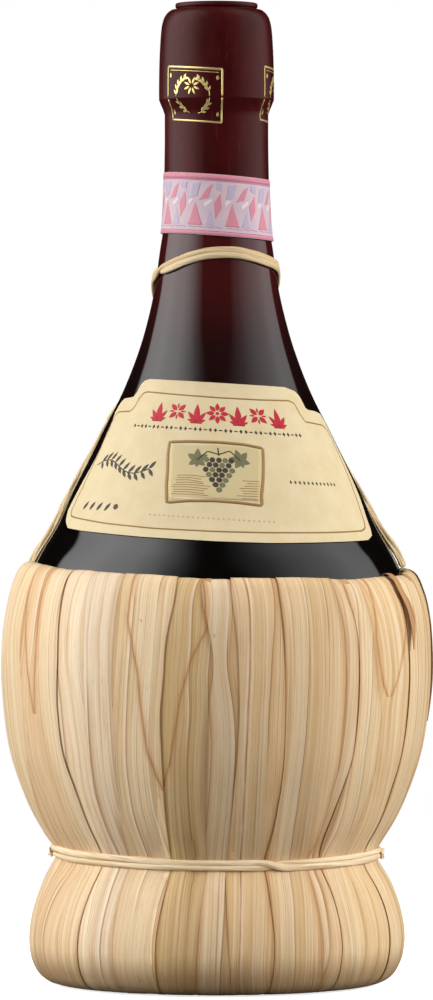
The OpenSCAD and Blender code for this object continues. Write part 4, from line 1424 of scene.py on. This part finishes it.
LEFT = [(118.3, -66), (119.4, -70), (120.4, -72.5), (123.1, -75), (127.9, -73), (137.6, -70), (147, -70),
        (150.4, -74), (152.9, -73), (154.2, -69), (154.45, -63), (154.7, -58), (156, -56), (158, -55),
        (159.2, -52), (159.7, -47)]
RIGHT = [(118.3, 63), (119.3, 68.5), (121.2, 71), (129.1, 74), (142.7, 79), (151.3, 79), (153.3, 77.5),
         (153.9, 69), (154.1, 61), (154.6, 59), (157.5, 58), (158.9, 54.5), (159.2, 51), (159.7, 46)]
label_paper = paper("label_paper", "#d5c49f", "#d0bd93")
hs = np.unique(np.concatenate([np.linspace(118.3, 159.7, 46), [118.8, 119.3, 153.6, 153.9, 154.1, 154.3, 154.45,
                                                               154.6, 154.8, 155.4, 158.3, 158.8, 159.2, 159.45]]))
la = np.interp(hs, [p[0] for p in LEFT], [p[1] for p in LEFT])
ra = np.interp(hs, [p[0] for p in RIGHT], [p[1] for p in RIGHT])
uu = np.linspace(0, 1, 81)
A = la[:, None] + (ra - la)[:, None] * uu[None, :]
low_edge = np.interp(A, [-72, -54, -27, 0, 19, 41, 63, 72], [1.0, 0.4, 0.0, 0.1, 0.5, 1.5, 2.5, 2.9])
H = hs[:, None] + low_edge * (1 - smooth01(hs, 118.3, 132))[:, None]
s = Soup()
slab(s, on_label, A, H, 0.06, 0.26)
piece("paper_label", s, label_paper.m, replaces=("front_label",), sharp=40)

LIFTL = 1.12
TOPI, LOWI = 0.292, 0.235


def mml(h):
    return float(flask_r(h)) * DEG


KEY = [(-64, 122), (-68, 122.3), (-70, 123.5), (-68.5, 130.1), (-69.5, 140.7), (-71, 147.9), (-70.6, 150.0), (-68, 150.6),
       (-54.5, 150.9), (-52.3, 152.2), (-51.4, 154.4), (-49, 155.9), (-46, 156.3), (-25, 156), (2, 155.8), (26, 155.9),
       (46, 156.2), (49.8, 155.5), (51.2, 152.8), (53, 150.9), (70, 150.3), (74.4, 149.3), (75.2, 146.5), (74.4, 141),
       (70.5, 133.5), (68, 125.8), (66, 123.9), (62, 123.1), (43, 122.3), (15, 121.3), (-1, 120.9), (-23, 120.7), (-43, 121.1)]
brown, dark, red, wash, leafy, faint = Soup(), Soup(), Soup(), Soup(), Soup(), Soup()
ribbon(brown, on_label, KEY, 0.42, LOWI, TOPI, mml(136), True, 0.9, LIFTL)

# the red row: leaf and rosette ornaments
for k in range(7):
    c, h0 = -33.0 + 11.0 * k + 0.5, 151.6
    mm = mml(h0)
    if k == 3:
        for j in range(8):
            patch(red, on_label, petal(c + 0.75 * math.cos(45 * j * DEG) / mm, h0 + 0.75 * math.sin(45 * j * DEG) / LIFTL,
                                       2.3, 1.25, 45 * j, mm, LIFTL), LOWI, TOPI)
        patch(red, on_label, disc_poly(c, h0, 0.5, mm, LIFTL), LOWI, TOPI)
    elif k % 2 == 0:
        for ang, ln, w in ((90, 5.4, 1.7), (52, 3.9, 1.25), (128, 3.9, 1.25), (18, 2.6, 0.95), (162, 2.6, 0.95)):
            patch(red, on_label, petal(c, h0 - 2.6, ln, w, ang, mm, LIFTL), LOWI, TOPI)
        ribbon(red, on_label, [(c - 1.5 / mm, h0 - 2.75), (c + 1.5 / mm, h0 - 2.75)], 0.42, LOWI, TOPI, mm, lift=LIFTL)
    else:
        for ang in (45, 135, 225, 315):
            patch(red, on_label, petal(c + 0.35 * math.cos(ang * DEG) / mm, h0 + 0.35 * math.sin(ang * DEG) / LIFTL,
                                       2.6, 1.35, ang, mm, LIFTL), LOWI, TOPI)
        for ang in (0, 90, 180, 270):
            patch(red, on_label, petal(c + 0.9 * math.cos(ang * DEG) / mm, h0 + 0.9 * math.sin(ang * DEG) / LIFTL,
                                       1.5, 0.55, ang, mm, LIFTL), LOWI, TOPI)

# small beaded rules
for k in range(37):
    c, mm = -46 + 91 * k / 36, mml(147.2)
    if k % 3 == 1:
        ribbon(dark, on_label, [(c - 0.42 / mm, 147.2), (c + 0.42 / mm, 147.2)], 0.34, LOWI, TOPI, mm, lift=LIFTL)
    else:
        patch(dark, on_label, [(c - 0.42 / mm, 147.2), (c, 146.65), (c + 0.42 / mm, 147.2), (c, 147.75)], LOWI, TOPI, 5, 4)
for k in range(12):
    c, mm = 31.5 + 24 * k / 11, mml(134.8)
    patch(dark, on_label, [(c - 0.36 / mm, 134.8), (c, 134.3), (c + 0.36 / mm, 134.8), (c, 135.3)], LOWI, TOPI, 5, 4)
for k in range(26):
    c, mm = -25 + 46 * k / 25, mml(124.2)
    patch(faint, on_label, disc_poly(c, 124.2, 0.30, mm, LIFTL, 8), LOWI, TOPI, 5, 4)

# a sprig with narrow leaves on the left
mm = mml(137)
stem = [(-64 + t * 3.4, 136.2 + 1.6 * math.sin(t * 0.62)) for t in range(11)]
ribbon(dark, on_label, stem, 0.30, LOWI, TOPI, mm, lift=LIFTL)
for k in range(1, 11):
    x, y = stem[k]
    patch(dark, on_label, petal(x, y, 3.0, 1.05, 55, mm, LIFTL), LOWI, TOPI, 7, 5)
    patch(dark, on_label, petal(x, y, 2.8, 1.0, -52, mm, LIFTL), LOWI, TOPI, 7, 5)
# two small leaves and a berry at the lower left
mm = mml(125.6)
for x, ang in ((-60, 35), (-55.5, 35), (-51, 35), (-46.5, 35)):
    patch(dark, on_label, petal(x, 124.3, 3.1, 1.15, ang + 20, mm, LIFTL), LOWI, TOPI, 7, 5)
patch(dark, on_label, disc_poly(-41, 125.6, 0.85, mm, LIFTL), LOWI, TOPI)

# the framed picture in the middle: a bunch of grapes with two leaves
FR = [(-22.6, 143.4), (-12, 143.9), (2, 144.1), (13, 143.9), (21.8, 143.2), (20.6, 139), (19.2, 134.9), (17.6, 131), (17.2, 128.3),
      (8, 128.7), (-1, 128.8), (-11, 128.4), (-19, 127.6), (-20.2, 131.5), (-21.2, 136.5), (-22.4, 140.5)]
mm = mml(136)
ribbon(brown, on_label, FR, 0.85, LOWI, TOPI, mm, True, 0.8, LIFTL)
patch(wash, on_label, [(-21.6, 142.9), (-12, 143.3), (2, 143.5), (13, 143.3), (20.9, 142.7), (19.7, 139), (18.3, 134.9), (16.9, 131),
                       (16.4, 128.9), (8, 129.2), (-1, 129.3), (-11, 128.9), (-18.3, 128.2), (-19.3, 131.5), (-20.3, 136.5), (-21.4, 140.5)],
      LOWI, 0.272, 22, 26)
rg = np.random.default_rng(3)
for k in range(9):
    h = 129.9 + 0.62 * k
    x0, x1 = -18.3 + rg.uniform(0, 2.0), -2 + rg.uniform(-3, 5) - k * 0.5
    ribbon(brown, on_label, [(x0, h), ((x0 + x1) / 2, h + 0.25), (x1, h + rg.uniform(-0.2, 0.2))], 0.20, LOWI, 0.288, mm, lift=LIFTL)
for k in range(8):
    h = 129.8 + 0.66 * k
    x0, x1 = 8.5 + rg.uniform(-1, 2) + k * 0.35, 16.2 + 0.22 * k
    ribbon(brown, on_label, [(x0, h), (x1, h + 0.1)], 0.20, LOWI, 0.288, mm, lift=LIFTL)
for row, n in enumerate((5, 4, 5, 4, 3, 2, 1)):
    for j in range(n):
        x = 1.0 + (j - (n - 1) / 2) * 1.72 / mm + rg.uniform(-0.15, 0.15)
        patch(dark if (row + j) % 3 else leafy, on_label, disc_poly(x, 139.4 - row * 1.28, 0.80, mm, LIFTL), LOWI, TOPI, 7, 6)
for cx, cy, turn in ((-8.5, 139.6, 0), (10.5, 140.0, 20)):
    for ang, ln, w in ((90, 3.4, 1.9), (30, 3.3, 1.8), (150, 3.3, 1.8), (-35, 2.8, 1.6), (215, 2.8, 1.6), (-90, 2.2, 1.3)):
        patch(leafy, on_label, petal(cx, cy - 0.4, ln, w, ang + turn, mm, LIFTL), LOWI, 0.289)
ribbon(dark, on_label, [(-8.5, 139.2), (-4, 141.6), (1, 140.9), (6, 142.0), (10.5, 139.6)], 0.34, LOWI, TOPI, mm, lift=LIFTL)
ribbon(dark, on_label, [(1, 140.6), (0.6, 142.6)], 0.40, LOWI, TOPI, mm, lift=LIFTL)
piece("label_print_brown", brown, ink("print_brown", "#94713f", vary=0.1).m)
piece("label_print_dark", dark, ink("print_dark", "#352e26", vary=0.08).m)
piece("label_print_red", red, ink("print_red", "#b01a2c", vary=0.08).m)
piece("label_print_wash", wash, ink("print_wash", "#c6b384").m)
piece("label_print_leaf", leafy, ink("print_leaf", "#6a6748", vary=0.1).m)
piece("label_print_faint", faint, ink("print_faint", "#b9a983").m)
